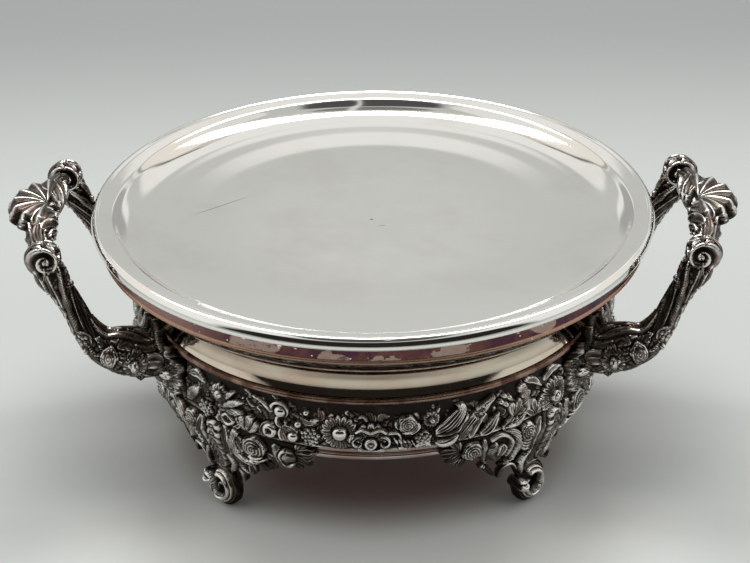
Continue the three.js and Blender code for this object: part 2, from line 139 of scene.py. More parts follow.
def runTree(tree, mesh, values):
    # gives back a plain mesh; the object and its modifier are only there for the evaluation
    source = bpy.data.objects.new(mesh.name, mesh)
    bpy.context.scene.collection.objects.link(source)
    modifier = source.modifiers.new(tree.name, "NODES")
    modifier.node_group = tree
    sockets = {item.name: item.identifier for item in tree.interface.items_tree if item.in_out == "INPUT"}
    for label, value in values.items():
        modifier[sockets[label]] = value
    bpy.context.view_layer.update()
    graph = bpy.context.evaluated_depsgraph_get()
    result = bpy.data.meshes.new_from_object(source.evaluated_get(graph))
    source.modifiers.clear()
    bpy.data.objects.remove(source)
    return result


def ringTree():
    tree, given, realize, section, circle, upright, sweep = nodeTree(
        "turnedRing",
        [("Middle radius", "NodeSocketFloat"), ("Facets", "NodeSocketInt"), ("Finish", "NodeSocketMaterial")],
        ("GeometryNodeMeshToCurve", "GeometryNodeCurvePrimitiveCircle", "GeometryNodeSetCurveNormal",
         "GeometryNodeCurveToMesh"))
    upright.mode = "Z_UP"
    join(tree, (given, "Geometry", section, "Mesh"), (given, "Middle radius", circle, "Radius"),
         (given, "Facets", circle, "Resolution"), (circle, "Curve", upright, "Curve"),
         (upright, "Curve", sweep, "Curve"), (section, "Curve", sweep, "Profile Curve"),
         (sweep, "Mesh", realize, "Geometry"))
    return tree


def scatterTree():
    tree, given, realize, form, turns, sizes, rotation, instances = nodeTree(
        "setInPlace", [("Form", "NodeSocketObject"), ("Finish", "NodeSocketMaterial")],
        ("GeometryNodeObjectInfo", "GeometryNodeInputNamedAttribute", "GeometryNodeInputNamedAttribute",
         "FunctionNodeEulerToRotation", "GeometryNodeInstanceOnPoints"))
    for node, name in ((turns, "turned"), (sizes, "sized")):
        node.data_type = "FLOAT_VECTOR"
        node.inputs["Name"].default_value = name
    join(tree, (given, "Form", form, "Object"), (given, "Geometry", instances, "Points"),
         (form, "Geometry", instances, "Instance"), (turns, "Attribute", rotation, "Euler"),
         (rotation, "Rotation", instances, "Rotation"), (sizes, "Attribute", instances, "Scale"),
         (instances, "Instances", realize, "Geometry"))
    return tree


turnedRing = ringTree()
setInPlace = scatterTree()


def ringPiece(name, section, finish, facets, sharp=50):
    # the section is closed, as (radius, height)
    middle = sum(radius for radius, height in section) / len(section)
    outline = bpy.data.meshes.new(name)
    points = [((radius - middle) * mm, -height * mm, 0) for radius, height in section]
    outline.from_pydata(points, [(i, (i + 1) % len(points)) for i in range(len(points))], [])
    mesh = runTree(turnedRing, outline, {"Middle radius": middle * mm, "Facets": facets,
                                         "Finish": finishes[finish]})
    mesh.name = name
    pointOutwards(mesh)
    mesh.set_sharp_from_angle(angle=math.radians(sharp))
    return linkPiece(name, mesh, finish)


# Finishes
class Shading:
    # the nodes of a material or of the world, laid out by a place in it
    def __init__(self, tree, place):
        self.nodes, self.links = tree.nodes, tree.links
        self.place = self.nodes.new("ShaderNodeTexCoord").outputs[place]

    def put(self, socket, value):
        if isinstance(value, bpy.types.NodeSocket):
            self.links.new(value, socket)
        else:
            socket.default_value = (*value, 1) if socket.type == "RGBA" else value

    def node(self, kind, inputs, **settings):
        node = self.nodes.new("ShaderNode" + kind)
        for name, setting in settings.items():
            setattr(node, name, setting)
        for label, value in inputs.items():
            self.put(node.inputs[label], value)
        return node

    def math(self, operation, *values):
        return self.node("Math", dict(enumerate(values)), operation=operation).outputs["Value"]

    def vector(self, operation, *values, output="Vector"):
        return self.node("VectorMath", dict(enumerate(values)), operation=operation).outputs[output]

    def every(self, *shares):
        result = shares[0]
        for share in shares[1:]:
            result = self.math("MULTIPLY", result, share)
        return result

    def between(self, value, low, high, start=0.0, end=1.0):
        inputs = {"Value": value, "From Min": low, "From Max": high, "To Min": start, "To Max": end}
        return self.node("MapRange", inputs, interpolation_type="SMOOTHSTEP").outputs["Result"]

    def blend(self, share, first, second):
        node = self.node("Mix", {"Factor": share}, data_type="RGBA")
        colours = [socket for socket in node.inputs if socket.type == "RGBA"]
        for socket, value in zip(colours, (first, second)):
            self.put(socket, value)
        return next(socket for socket in node.outputs if socket.type == "RGBA")

    def coordinate(self, axis):
        return self.node("SeparateXYZ", {"Vector": self.place}).outputs[axis]

    def reach(self):
        # distance from the upright axis
        return self.vector("LENGTH", self.vector("MULTIPLY", self.place, (1, 1, 0)), output="Value")

    def fromMiddle(self, middle, half, turn=0.0, place=None):
        # 0 at the middle of an ellipsoid and 1 on its surface
        inputs = {"Vector": place or self.place, "Location": middle, "Rotation": (0, 0, math.radians(turn)),
                  "Scale": half}
        inside = self.node("Mapping", inputs, vector_type="TEXTURE").outputs["Vector"]
        return self.vector("LENGTH", inside, output="Value")


class Finish(Shading):
    # a material; its patterns' sizes are in millimetres
    def __init__(self, name, metallic=1.0):
        material = bpy.data.materials.new(name)
        material.use_nodes = True
        super().__init__(material.node_tree, "Object")
        self.shader = self.nodes["Principled BSDF"]
        self.set("Metallic", metallic)
        finishes[name] = material

    def set(self, socket, value):
        self.put(self.shader.inputs[socket], value)

    def stretched(self, scale, turn=(0, 0, 0)):
        inputs = {"Vector": self.place, "Scale": scale, "Rotation": turn}
        return self.node("Mapping", inputs).outputs["Vector"]

    def noise(self, blotch, detail=3, rough=0.5, place=None):
        return self.node("TexNoise", {"Vector": place or self.place, "Scale": 1 / (blotch * mm),
                                      "Detail": detail, "Roughness": rough}).outputs["Fac"]

    def cells(self, size):
        return self.node("TexVoronoi", {"Vector": self.place, "Scale": 1 / (size * mm)}).outputs["Distance"]

    def attribute(self, name):
        return self.node("Attribute", {}, attribute_name=name).outputs["Fac"]

    def warped(self, blotch, shift):
        # the place, moved about by a noise
        noise = self.node("TexNoise", {"Vector": self.place, "Scale": 1 / (blotch * mm)}).outputs["Color"]
        moved = self.vector("MULTIPLY_ADD", noise, (2 * shift * mm,) * 3, self.place)
        return self.vector("ADD", moved, (-shift * mm,) * 3)

    def spot(self, middle, half, turn=0.0, solid=0.6, place=None):
        # 1 inside an ellipsoid; solid is the share that is not faded
        length = self.fromMiddle(Vector(middle) * mm, Vector(half) * mm, turn, place)
        return self.between(length, solid, 1.0, 1.0, 0.0)

    def ragged(self, blotch, detail, rough, shift):
        # the height, moved up and down by a noise
        drift = self.between(self.noise(blotch, detail, rough), 0.3, 0.7, -shift * mm, shift * mm)
        return self.math("ADD", self.coordinate("Z"), drift)

    def polish(self, smooth, dull, blotch=3):
        # roughness that wanders between two values
        self.set("Roughness", self.between(self.noise(blotch, 4, 0.6), 0.3, 0.7, smooth, dull))

    def bump(self, height, depth, strength):
        inputs = {"Height": height, "Distance": depth * mm, "Strength": strength}
        self.set("Normal", self.node("Bump", inputs).outputs["Normal"])


def satinSilver():
    look = {"plate": (0.80, 0.785, 0.75), "stain": (0.74, 0.715, 0.67), "scratch": (0.33, 0.31, 0.28),
            "paleFront": (0.87, 0.855, 0.82), "paleFrontY": (-55, -110), "well": (45, 118), "satin": 0.17,
            "bright": 0.07, "mottle": 0.018, "scratchDepth": 0.012,
            # middle, half sizes and turn of the long scratch and the two dents near the middle
            "marks": (((-80, 17.5, 122), (21, 0.35, 3), 37.6), ((-0.8, 0.4, 122), (1.2, 0.9, 3), 0),
                      ((4.6, -6.8, 122), (2.4, 0.3, 3), 12))}
    finish = Finish("satinSilver")
    stain = finish.between(finish.noise(60, 4, 0.6), 0.45, 0.75)
    colour = finish.blend(stain, look["plate"], look["stain"])
    # paler towards the front of the dish, between the two Y values
    paleFront = finish.between(finish.coordinate("Y"), *(y * mm for y in look["paleFrontY"]))
    colour = finish.blend(paleFront, colour, look["paleFront"])
    marks = [finish.spot(*mark) for mark in look["marks"]]
    scratch = finish.math("MAXIMUM", finish.math("MAXIMUM", marks[0], marks[1]), marks[2])
    finish.set("Base Color", finish.blend(scratch, colour, look["scratch"]))
    inWell = finish.between(finish.reach(), *(reach * mm for reach in look["well"]), 1.0, 0.0)
    mottle = finish.between(finish.noise(9, 5, 0.7), 0.3, 0.7, -look["mottle"], look["mottle"])
    satin = finish.math("MULTIPLY", inWell, look["satin"] - look["bright"])
    satin = finish.math("ADD", satin, look["bright"])
    finish.set("Roughness", finish.math("ADD", satin, finish.every(mottle, inWell)))
    # fine scratches in two directions
    first = finish.noise(0.5, 2, 0.5, finish.stretched((1, 0.012, 1), (0, 0, 0.5)))
    second = finish.noise(0.5, 2, 0.5, finish.stretched((1, 0.015, 1), (0, 0, -0.9)))
    finish.bump(finish.every(first, second, inWell), look["scratchDepth"], 0.6)


def copperSkirt():
    look = {"purple": (0.085, 0.034, 0.052), "brown": (0.155, 0.068, 0.055), "pale": (0.36, 0.26, 0.22),
            "blue": (0.034, 0.024, 0.062), "lip": (0.40, 0.24, 0.17), "speck": (0.9, 0.86, 0.8),
            "rosy": (0.27, 0.155, 0.14), "rosyX": (-62, -98), "blueZ": (120.2, 123.6),
            "lipZ": (119.4, 119.8), "chipsZ": (123.2, 124.0),
            # pale patches where the copper is bare, as middle and half sizes
            "bare": (((-19.5, -139.5, 119.4), (8.6, 7, 4.8)), ((4.4, -139.9, 119.0), (9.4, 7, 2.6)),
                     ((34.5, -135.6, 121.6), (10, 9, 3.8)), ((-57, -127.8, 122.6), (13, 12, 4.2)))}
    finish = Finish("copperSkirt")
    height = finish.coordinate("Z")
    worn = finish.between(finish.noise(18, 5, 0.65), 0.42, 0.6)
    ground = finish.blend(worn, look["purple"], look["brown"])
    cloudy = finish.noise(26, 1.5, 0.4, finish.stretched((1, 1, 2.4), (0.3, 0, 0.4)))
    patches = finish.between(cloudy, 0.60, 0.615)
    ragged = finish.warped(4.5, 5)
    for middle, half in look["bare"]:
        patches = finish.math("MAXIMUM", patches, finish.spot(middle, half, 0, 0.93, ragged))
    streaky = finish.noise(2.6, 4, 0.7, finish.stretched((0.5, 0.5, 1)))
    streaks = finish.between(streaky, 0.34, 0.44, 0.25, 1.0)
    low = finish.between(finish.ragged(16, 2, 0.5, 2.4), *(z * mm for z in look["blueZ"]), 1.0, 0.0)
    heat = finish.between(finish.noise(24, 2, 0.4), 0.5, 0.6)
    ground = finish.blend(finish.every(heat, low), ground, look["blue"])
    # the heat's colours fade towards the left handle
    ground = finish.blend(finish.between(finish.coordinate("X"), *(x * mm for x in look["rosyX"])),
                          ground, look["rosy"])
    ground = finish.blend(finish.every(patches, streaks), ground, look["pale"])
    lip = finish.between(height, *(z * mm for z in look["lipZ"]), 1.0, 0.0)
    ground = finish.blend(lip, ground, look["lip"])
    specks = finish.between(finish.cells(4.5), 0.06, 0.1, 1.0, 0.0)
    chips = finish.between(finish.cells(6.5), 0.15, 0.19, 1.0, 0.0)
    upper = finish.between(height, *(z * mm for z in look["chipsZ"]))
    specks = finish.math("MAXIMUM", specks, finish.every(chips, upper))
    finish.set("Base Color", finish.blend(specks, ground, look["speck"]))
    finish.polish(0.24, 0.4)
    finish.bump(finish.noise(2.5, 4, 0.6), 0.05, 0.5)


def wornPlate():
    look = {"silver": (0.60, 0.525, 0.43), "copper": (0.56, 0.43, 0.34), "shadeUnderDish": (0.10, 0.08, 0.065),
            "shadeUnderDishLow": (107.2, 107.9), "shadeUnderDishHigh": (116.4, 117.2)}
    finish = Finish("wornPlate")
    worn = finish.between(finish.noise(28, 4, 0.6), 0.45, 0.72)
    plate = finish.blend(worn, look["silver"], look["copper"])
    # a dark band with a ragged lower edge under the dish: painted shade and a painted reflection of the skirt
    level = finish.ragged(4, 5, 0.7, 2.2)
    above = finish.between(level, *(z * mm for z in look["shadeUnderDishLow"]))
    below = finish.between(level, *(z * mm for z in look["shadeUnderDishHigh"]), 1.0, 0.0)
    finish.set("Base Color", finish.blend(finish.every(above, below), plate, look["shadeUnderDish"]))
    finish.polish(0.05, 0.11, 5)
    finish.bump(finish.noise(6, 2, 0.4), 0.05, 0.25)


# two colours that pass into each other in blotches, as a noise and where in it the second one begins and
# is full; then the roughness, and a bump's noise, depth and strength
plainMetals = {
    "copperWire": {"first": (0.12, 0.062, 0.046), "second": (0.28, 0.19, 0.15), "blotches": (14, 3, 0.5),
                   "share": (0.42, 0.6), "rough": (0.16, 0.3), "bump": None},
    "rosyPlate": {"first": (0.40, 0.28, 0.255), "second": (0.53, 0.45, 0.41), "blotches": (24, 4, 0.6),
                  "share": (0.4, 0.65), "rough": (0.14, 0.26), "bump": ((2, 3, 0.5), 0.03, 0.4)},
    "tinnedCopper": {"first": (0.62, 0.61, 0.57), "second": (0.43, 0.41, 0.37), "blotches": (18, 5, 0.65),
                     "share": (0.35, 0.7), "rough": (0.35, 0.55, 4), "bump": ((1.2, 3, 0.6), 0.03, 0.5)},
}


def plainMetal(name):
    look = plainMetals[name]
    finish = Finish(name)
    worn = finish.between(finish.noise(*look["blotches"]), *look["share"])
    finish.set("Base Color", finish.blend(worn, look["first"], look["second"]))
    finish.polish(*look["rough"])
    if look["bump"]:
        grain, depth, strength = look["bump"]
        finish.bump(finish.noise(*grain), depth, strength)


def castSilver():
    look = {"hollow": (0.02, 0.016, 0.014), "body": (0.12, 0.10, 0.084), "high": (0.80, 0.78, 0.74),
            "warm": (0.17, 0.12, 0.095), "drift": 0.16}
    finish = Finish("castSilver")
    # dark in the hollows and bright on the ridges, by the wear that each mesh carries
    drift = finish.between(finish.noise(7, 4, 0.6), 0.25, 0.75, -look["drift"], look["drift"])
    level = finish.math("ADD", finish.attribute("wear"), drift)
    body = finish.blend(finish.between(finish.noise(11, 3, 0.5), 0.5, 0.68), look["body"], look["warm"])
    ground = finish.blend(finish.between(level, 0.08, 0.5), look["hollow"], body)
    finish.set("Base Color", finish.blend(finish.between(level, 0.55, 1.0), ground, look["high"]))
    finish.set("Roughness", finish.between(level, 0.1, 0.8, 0.42, 0.16))
    finish.bump(finish.noise(0.9, 3, 0.6), 0.06, 0.5)


satinSilver()
copperSkirt()
wornPlate()
for name in plainMetals:
    plainMetal(name)
castSilver()
print("finishes made")


# Dish
dish = {
    "wellFloor": 122.0, "sheet": 1.2, "flange": (139.6, 132.4), "skirtRadius": 139.9, "skirtWall": 1.0,
    "skirtBottom": 117.25, "skirtTop": 126.9, "lipProud": 0.9, "lipHeight": 2.4, "facets": 480,
    # rings on the flat; the slope's steps, closer past a radius; the underside has every fourth of them
    "flatRings": (30, 60), "steepFrom": 121, "easySteps": 35, "steepSteps": 54, "underEvery": 4,
    # radius and slope of the upper face, from the flat middle to the flange
    "slopes": ((87, 0), (90, 2.8), (93, 4.8), (98, 5.2), (104, 5.2), (106.5, 3.7), (112.5, 3.7), (114, 5.4),
               (117, 6.0), (118, 4.2), (119.5, 4.6), (121, 9), (124, 17), (126.6, 25), (127.4, 28), (130, 33),
               (130.9, 38), (131.5, 44.5), (133.2, 44), (134, 28), (135, 14), (136.5, 11), (139.6, 9)),
    "roll": ((140.15, 132.4), (140.75, 132.6), (141.7, 132.95), (142.8, 132.68), (143.7, 131.9),
             (144.3, 130.9), (144.65, 129.9), (144.84, 129.0), (144.76, 128.1), (144.35, 127.3),
             (143.5, 126.8), (142.3, 126.55), (141.0, 126.65), (140.1, 127.0)),
    "rollInside": ((140.4, 127.85), (141.4, 127.5), (142.4, 127.4), (143.3, 127.6), (143.85, 128.2),
                   (143.6, 129.3), (143.1, 130.4), (142.5, 131.3), (141.7, 131.8), (140.7, 131.7)),
}


def riseLine():
    radii, slopes = zip(*dish["slopes"])
    easy = np.linspace(radii[0], dish["steepFrom"], dish["easySteps"])[:-1]
    r = np.concatenate([easy, np.linspace(dish["steepFrom"], radii[-1], dish["steepSteps"])])
    slope = np.radians(np.interp(r, radii, slopes))
    steps = np.diff(r) * (np.tan(slope[1:]) + np.tan(slope[:-1])) / 2
    climb = np.concatenate([[0], np.cumsum(steps)])
    return r, dish["wellFloor"] + climb * (dish["flange"][1] - dish["wellFloor"]) / climb[-1]


def dishPlate():
    floor, sheet = dish["wellFloor"], dish["sheet"]
    rising = list(zip(*riseLine()))
    under = [(radius, height - sheet) for radius, height in rising[::dish["underEvery"]]]
    rolled = smoothLine([dish["flange"], *dish["roll"]], 5)[1:]
    flat = dish["flatRings"]
    section = [(0, floor), *((radius, floor) for radius in flat), *rising, *rolled, *dish["rollInside"],
               *reversed(under), (flat[-1], floor - sheet), (0, floor - sheet)]
    piece = turnedPiece("dishPlate", section, "satinSilver", dish["facets"], 40)
    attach(piece, "dish")
    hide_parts("dish_plate")


def dishSkirt():
    outer, low, high = dish["skirtRadius"], dish["skirtBottom"], dish["skirtTop"]
    wall, lip = dish["skirtWall"], dish["lipHeight"]
    bulge = [(outer + dish["lipProud"] * math.sin(math.pi * t), low + lip * t) for t in np.linspace(0, 1, 7)]
    section = [(outer - wall, low), *bulge, (outer, low + lip + 0.1), (outer - 0.15, (low + high) / 2),
               (outer - 0.05, high), (outer - wall, high)]
    piece = ringPiece("dishSkirt", section, "copperSkirt", dish["facets"])
    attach(piece, "dish")
    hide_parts("dish_skirt", "skirt_lip")


dishPlate()
dishSkirt()
print("dish made")

# Body
body = {
    "under": 48.0, "galleryBottom": 56.5, "waist": 82.5, "coveBottom": 85.7, "coveRadius": 13.3,
    # the cove's arc ends at these angles, outside and inside
    "coveCentre": (128.3, 92.8), "coveEnds": (86, 78), "shoulderEdge": 0.9, "shoulderBow": 0.25,
    "slope": ((129.4, 107.5), (137.7, 116.7)), "top": 119.2, "sheet": 1.2, "wall": 116.5, "footing": 112.0,
    "wire": 1.6, "gap": 0.3, "reedProud": 3.1, "reedTop": 56.2, "collarTop": 125.0, "collarOuter": 138.4,
    "collarWall": 1.4, "collarSoft": 0.4, "facets": 320,
}


def bodyShell():
    centre, hollow, sheet = body["coveCentre"], body["coveRadius"], body["sheet"]
    wall, footing, gallery = body["wall"], body["footing"], body["galleryBottom"]
    low = math.degrees(math.asin((body["coveBottom"] - centre[1]) / hollow))
    cove = arcPoints(centre, -hollow, hollow, low, body["coveEnds"][0], 22)
    inner = arcPoints(centre, -hollow - sheet, hollow + sheet, body["coveEnds"][1], low, 10)
    # the shoulder slopes out, nearly flat, to a small rounded edge
    edge, bow = body["shoulderEdge"], body["shoulderBow"]
    bottom, top = body["slope"]
    slope = [(bottom[0] + (top[0] - bottom[0]) * t + bow * math.sin(math.pi * t),
              bottom[1] + (top[1] - bottom[1]) * t - bow * math.sin(math.pi * t))
             for t in np.linspace(0, 1, 9)]
    rounded = arcPoints((body["collarOuter"] - edge, body["top"] - sheet), edge, edge, -30, 0, 4)
    outside = [(footing, body["under"]), (footing, gallery), (wall, gallery), (wall, body["coveBottom"]),
               *cove, *slope, *rounded, (body["collarOuter"], body["top"])]
    inside = [(centre[0] - sheet, body["top"]), *inner, (wall - sheet, body["coveBottom"] - sheet),
              (wall - sheet, gallery + sheet), (footing - sheet, gallery + sheet),
              (footing - sheet, body["under"])]
    piece = ringPiece("bodyShell", [*outside, *inside], "wornPlate", body["facets"], 40)
    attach(piece, "base")
    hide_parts("body_shell")


def collar():
    outer, low, high = body["collarOuter"], body["top"] + body["gap"], body["collarTop"]
    wall, soft = body["collarWall"], body["collarSoft"]
    section = [(outer - wall, low), (outer, low), (outer, high - soft), (outer - soft, high),
               (outer - wall + soft, high), (outer - wall, high - soft)]
    piece = ringPiece("collarRing", section, "wornPlate", body["facets"])
    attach(piece, "base")
    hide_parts("collar_ring")


def waistBead():
    wire = body["wire"]
    centre = (body["wall"] + body["gap"] + wire, body["waist"] + wire)
    section = arcPoints(centre, wire, wire, 0, 345, 23)
    piece = ringPiece("waistBead", section, "copperWire", body["facets"], 80)
    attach(piece, "base")
    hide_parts("waist_bead")


def baseMoulding():
    # two reeds, one above the other
    reed = (body["reedTop"] - body["under"]) / 4
    middle, back = body["footing"] + body["reedProud"] - reed, body["footing"] + body["gap"]
    levels = [body["under"] + share * reed for share in (1, 3)]
    reeds = [point for level in levels for point in arcPoints((middle, level), reed, reed, -84, 84, 12)]
    section = [(back, body["under"]), *reeds, (back, body["reedTop"])]
    piece = ringPiece("baseMoulding", section, "rosyPlate", body["facets"])
    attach(piece, "base")
    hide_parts("base_moulding")


def waterPan():
    size = {"floor": 54.5, "radius": 108.0, "corner": 5.0, "sheet": 1.0, "flange": 136.5, "top": 120.5,
            "flatRing": 60, "bend": 1.5, "facets": 192}
    radius, floor, sheet, corner = size["radius"], size["floor"], size["sheet"], size["corner"]
    top, flange, bend = size["top"], size["flange"], size["bend"]
    centre = (radius - corner, floor + corner)
    outside = [(0, floor), (size["flatRing"], floor), *arcPoints(centre, corner, corner, -90, 0, 8),
               (radius, top - sheet - bend), (radius + bend, top - sheet), (flange, top - sheet)]
    inside = [(flange, top), (radius + bend - sheet, top), (radius - sheet, top - bend),
              *arcPoints(centre, corner - sheet, corner - sheet, 0, -90, 8),
              (size["flatRing"], floor + sheet), (0, floor + sheet)]
    piece = turnedPiece("waterPan", [*outside, *inside], "tinnedCopper", size["facets"], 50)
    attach(piece, "pan")
    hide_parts("water_pan")


bodyShell()
collar()
waistBead()
baseMoulding()
waterPan()
print("body made")


# Relief: castings are worked as a grid of heights, in millimetres, which is then laid on a surface
leafShapes = {"leaf": (0.45, 0.75), "petal": (0.7, 0.3), "tail": (0.08, 0.7), "band": (0.04, 0.04),
              "spindle": (0.6, 0.6)}


def spiralLine(centre, start, end, turnFrom, turnTo, steps=28):
    share = np.linspace(0, 1, steps)
    radius = start + (end - start) * share
    angle = np.radians(turnFrom + (turnTo - turnFrom) * share)
    return np.stack([centre[0] + radius * np.cos(angle), centre[1] + radius * np.sin(angle)], -1)


def lineThrough(points):
    # a few points are joined by a curve; many are a line already
    return smoothLine(points) if len(points) < 20 else np.asarray(points)


def blurred(field, cover, reach):
    down = np.fft.fftfreq(field.shape[0])[:, None]
    over = np.fft.rfftfreq(field.shape[1])[None]
    soften = np.exp(-2 * (math.pi * reach) ** 2 * (down ** 2 + over ** 2))
    spread = lambda values: np.fft.irfft2(np.fft.rfft2(values) * soften, field.shape)
    return spread(field * cover) / np.maximum(spread(cover.astype(float)), 0.02)


def eased(value, low, high):
    t = np.clip((value - low) / (high - low), 0, 1)
    return t * t * (3 - 2 * t)


class Relief:
    def __init__(self, left, right, low, high, step, depth, wrap=0):
        # wrap is the length after which the grid meets itself again
        self.across = np.arange(left, right + (-step if wrap else step) / 2, step)
        self.up = np.arange(low, high + step / 2, step)
        self.a, self.z = np.meshgrid(self.across, self.up)
        self.face = np.zeros(self.a.shape)
        self.metal = np.zeros(self.a.shape, bool)
        self.depth = np.full(self.a.shape, float(depth))
        self.step, self.wrap = step, wrap
        self.berries = []

    def cover(self, height):
        self.metal[:] = True
        self.face[:] = height

    def window(self, low, high):
        return (slice(*np.searchsorted(self.up, (low[1], high[1]))),
                slice(*np.searchsorted(self.across, (low[0], high[0]))))

    def shifts(self):
        return (-self.wrap, 0, self.wrap) if self.wrap else (0,)

    def lay(self, window, outside, height, lift, depth=None, groove=0.5):
        # outside is the distance beyond the form's outline; a groove round the form sets it off
        face, metal = self.face[window], self.metal[window]
        inside = outside < 0
        if not inside.any():
            return
        ring = (outside >= 0) & (outside < groove)
        under = face[inside & metal]
        raised = max(lift, 0.45 * under.mean() if under.size else lift)
        face[ring] = np.maximum(face[ring] - 0.7, 0.05)
        face[inside] = raised + height[inside]
        metal[inside] = True
        if depth is not None:
            self.depth[window][inside] = depth

    def follow(self, path, margin):
        # how far along the path each point near it is, and how far to its side
        window = self.window(path.min(axis=0) - margin, path.max(axis=0) + margin)
        spots = np.stack([self.a[window], self.z[window]], -1)
        step = np.diff(path, axis=0)
        length = np.maximum(np.hypot(*step.T), 1e-6)
        offset = spots[..., None, :] - path[:-1]
        share = np.clip((offset * step).sum(-1) / length ** 2, 0, 1)
        gap = offset - share[..., None] * step
        distance = np.hypot(gap[..., 0], gap[..., 1])
        nearest = distance.argmin(-1)[..., None] if distance.size else np.zeros(spots.shape[:2] + (1,), int)
        pick = lambda values: np.take_along_axis(values, nearest, -1)[..., 0]
        side = np.sign(pick(step[:, 0] * offset[..., 1] - step[:, 1] * offset[..., 0]))
        before = np.concatenate([[0], np.cumsum(length)[:-1]])
        along = (before[nearest[..., 0]] + pick(share) * length[nearest[..., 0]]) / length.sum()
        return window, along, side * pick(distance), length.sum()

    def around(self, centre, radius):
        # distance and angle from a centre, again wherever a wrapped grid meets it
        for shift in self.shifts():
            middle = np.array([centre[0] + shift, centre[1]])
            window = self.window(middle - (radius + 1), middle + (radius + 1))
            x, y = self.a[window] - middle[0], self.z[window] - middle[1]
            yield window, np.hypot(x, y), np.arctan2(y, x)

    def leaf(self, points, width, rise, lift, style="cupped", shape="leaf", lobes=0, depth=None, ribs=3):
        line = lineThrough(points)
        start, end = leafShapes[shape]
        full = (start / (start + end)) ** start * (end / (start + end)) ** end
        for shift in self.shifts():
            window, along, aside, length = self.follow(line + (shift, 0), width + 1)
            if not along.size:
                continue
            half = width * along ** start * (1 - along) ** end / full
            if lobes:
                half = half * (1 - 0.32 * np.abs(np.cos(math.pi * lobes * along)) ** 1.5)
            q = aside / np.maximum(half, 0.05)
            e = np.clip(np.abs(q), 0, 1)
            if style == "cupped":
                bowl = rise * (0.3 + 0.7 * e ** 2.4) * (1 - 0.5 * eased(e, 0.84, 1))
                height = bowl + 0.35 * rise * np.exp(-(aside / 0.35) ** 2)
            elif style == "ridged":
                ridges = np.cos(2 * math.pi * (along * length / 1.5 - np.abs(aside) / 1.5))
                height = rise * (1 - 0.6 * e ** 1.5) + 0.22 * ridges * np.minimum(1, 4 * e * (1 - e))
            elif style == "fluted":
                height = rise * np.sqrt(1 - 0.8 * e ** 2) + 0.2 * rise * np.cos(math.pi * (ribs * 2 - 1) * q)
            else:
                height = rise * np.sqrt(1 - 0.95 * e ** 2)
            height = height * (0.55 + 0.45 * eased(along, 0, 0.35))
            self.lay(window, np.abs(aside) - half, height, lift, depth)

    def cord(self, points, width, rise, lift, depth=None):
        self.leaf(points, width, rise, lift, "round", "band", depth=depth)

    def vine(self, points, width, rise, lift):
        self.leaf(points, width, rise, lift, "round", "tail")

    def pod(self, points, width, rise, lift):
        self.leaf(points, width, rise, lift, "round", "spindle")

    def dome(self, centre, radius, rise, lift, rings=0, depth=None):
        for window, reach, angle in self.around(centre, radius):
            e = np.clip(reach / radius, 0, 1)
            height = rise * np.sqrt(1 - 0.96 * e ** 2)
            if rings:
                height = height + 0.16 * rise * np.cos(2 * math.pi * rings * e)
            self.lay(window, reach - radius, height, lift, depth)

    def rose(self, centre, radius, rise, lift, turnBy, petals=5):
        for window, reach, angle in self.around(centre, radius):
            outline = radius * (1 - 0.1 * np.abs(np.cos(petals * (angle + turnBy) / 2)) ** 2)
            e = np.clip(reach / outline, 0, 1)
            whorl = (reach / (radius * 0.23) + (angle + turnBy) / (2 * math.pi)) % 1
            folds = np.where(e < 0.93, (whorl ** 2 - 0.35) * 0.42 * rise, 0)
            height = rise * (1 - 0.5 * e ** 2) + folds - 0.25 * rise * eased(e, 0.9, 1)
            self.lay(window, reach - outline, height, lift)

    def daisy(self, centre, radius, petals, rise, lift, boss, bossRise, ringed=False):
        for window, reach, angle in self.around(centre, radius):
            part = (angle / (2 * math.pi) * petals) % 1 - 0.5
            e = np.clip(np.abs(part) / 0.43, 0, 1.2)
            outline = radius * (1 - 0.16 * np.minimum(e, 1) ** 2)
            length = reach / radius
            petal = rise * (0.35 + 0.65 * e ** 2.2) * (1 - 0.55 * eased(e, 0.8, 1)) * (1.05 - 0.3 * length)
            height = np.where(e > 1, -0.3, petal)
            core = boss * radius
            dome = rise * 0.7 + bossRise * rise * np.sqrt(np.clip(1 - (reach / core) ** 2, 0, 1))
            if ringed:
                dome = dome - 0.5 * rise * np.exp(-((reach / core - 0.55) / 0.14) ** 2)
            moat = (reach >= core) & (reach < core * 1.16)
            height = np.where(reach < core, dome, np.where(moat, 0, height))
            self.lay(window, reach - outline, height, lift)

    def fan(self, root, tip, spread, count, width, rise, lift, style="cupped", shape="petal"):
        # leaves that open from one root, with the tallest in the middle
        root, tip = np.asarray(root, float), np.asarray(tip, float)
        reach = np.hypot(*(tip - root))
        heading = math.atan2(*(tip - root)[::-1])
        for i in sorted(range(count), key=lambda i: -abs(i - (count - 1) / 2)):
            share = i / (count - 1) - 0.5
            angle = heading + math.radians(spread) * share
            long = reach * (1 - 0.5 * share ** 2)
            end = root + long * np.array([math.cos(angle), math.sin(angle)])
            aside = np.array([-math.sin(angle), math.cos(angle)]) * long * (0.25 * share)
            self.leaf([root, (root + end) / 2 + aside * 0.6, end], width, rise, lift, style, shape)

    def scroll(self, points, width, rise, lift, leaflets, side, length):
        # a fluted stem with leaflets along one side
        line = lineThrough(points)
        for i in range(leaflets):
            at = int((0.12 + 0.8 * i / leaflets) * (len(line) - 2))
            ahead = (line[at + 1] - line[at]) / max(np.hypot(*(line[at + 1] - line[at])), 1e-6)
            out = side * np.array([-ahead[1], ahead[0]])
            root = line[at] + out * width * 0.4
            path = [root, root + length * 0.5 * out, root + length * (0.75 * out + 0.65 * ahead)]
            self.leaf(path, length * 0.3, rise * 0.7, lift * 0.7, "cupped", "petal")
        self.leaf(line, width, rise, lift, "fluted", "tail")

    def grapes(self, centre, radius, count, size, lift, turnBy=1):
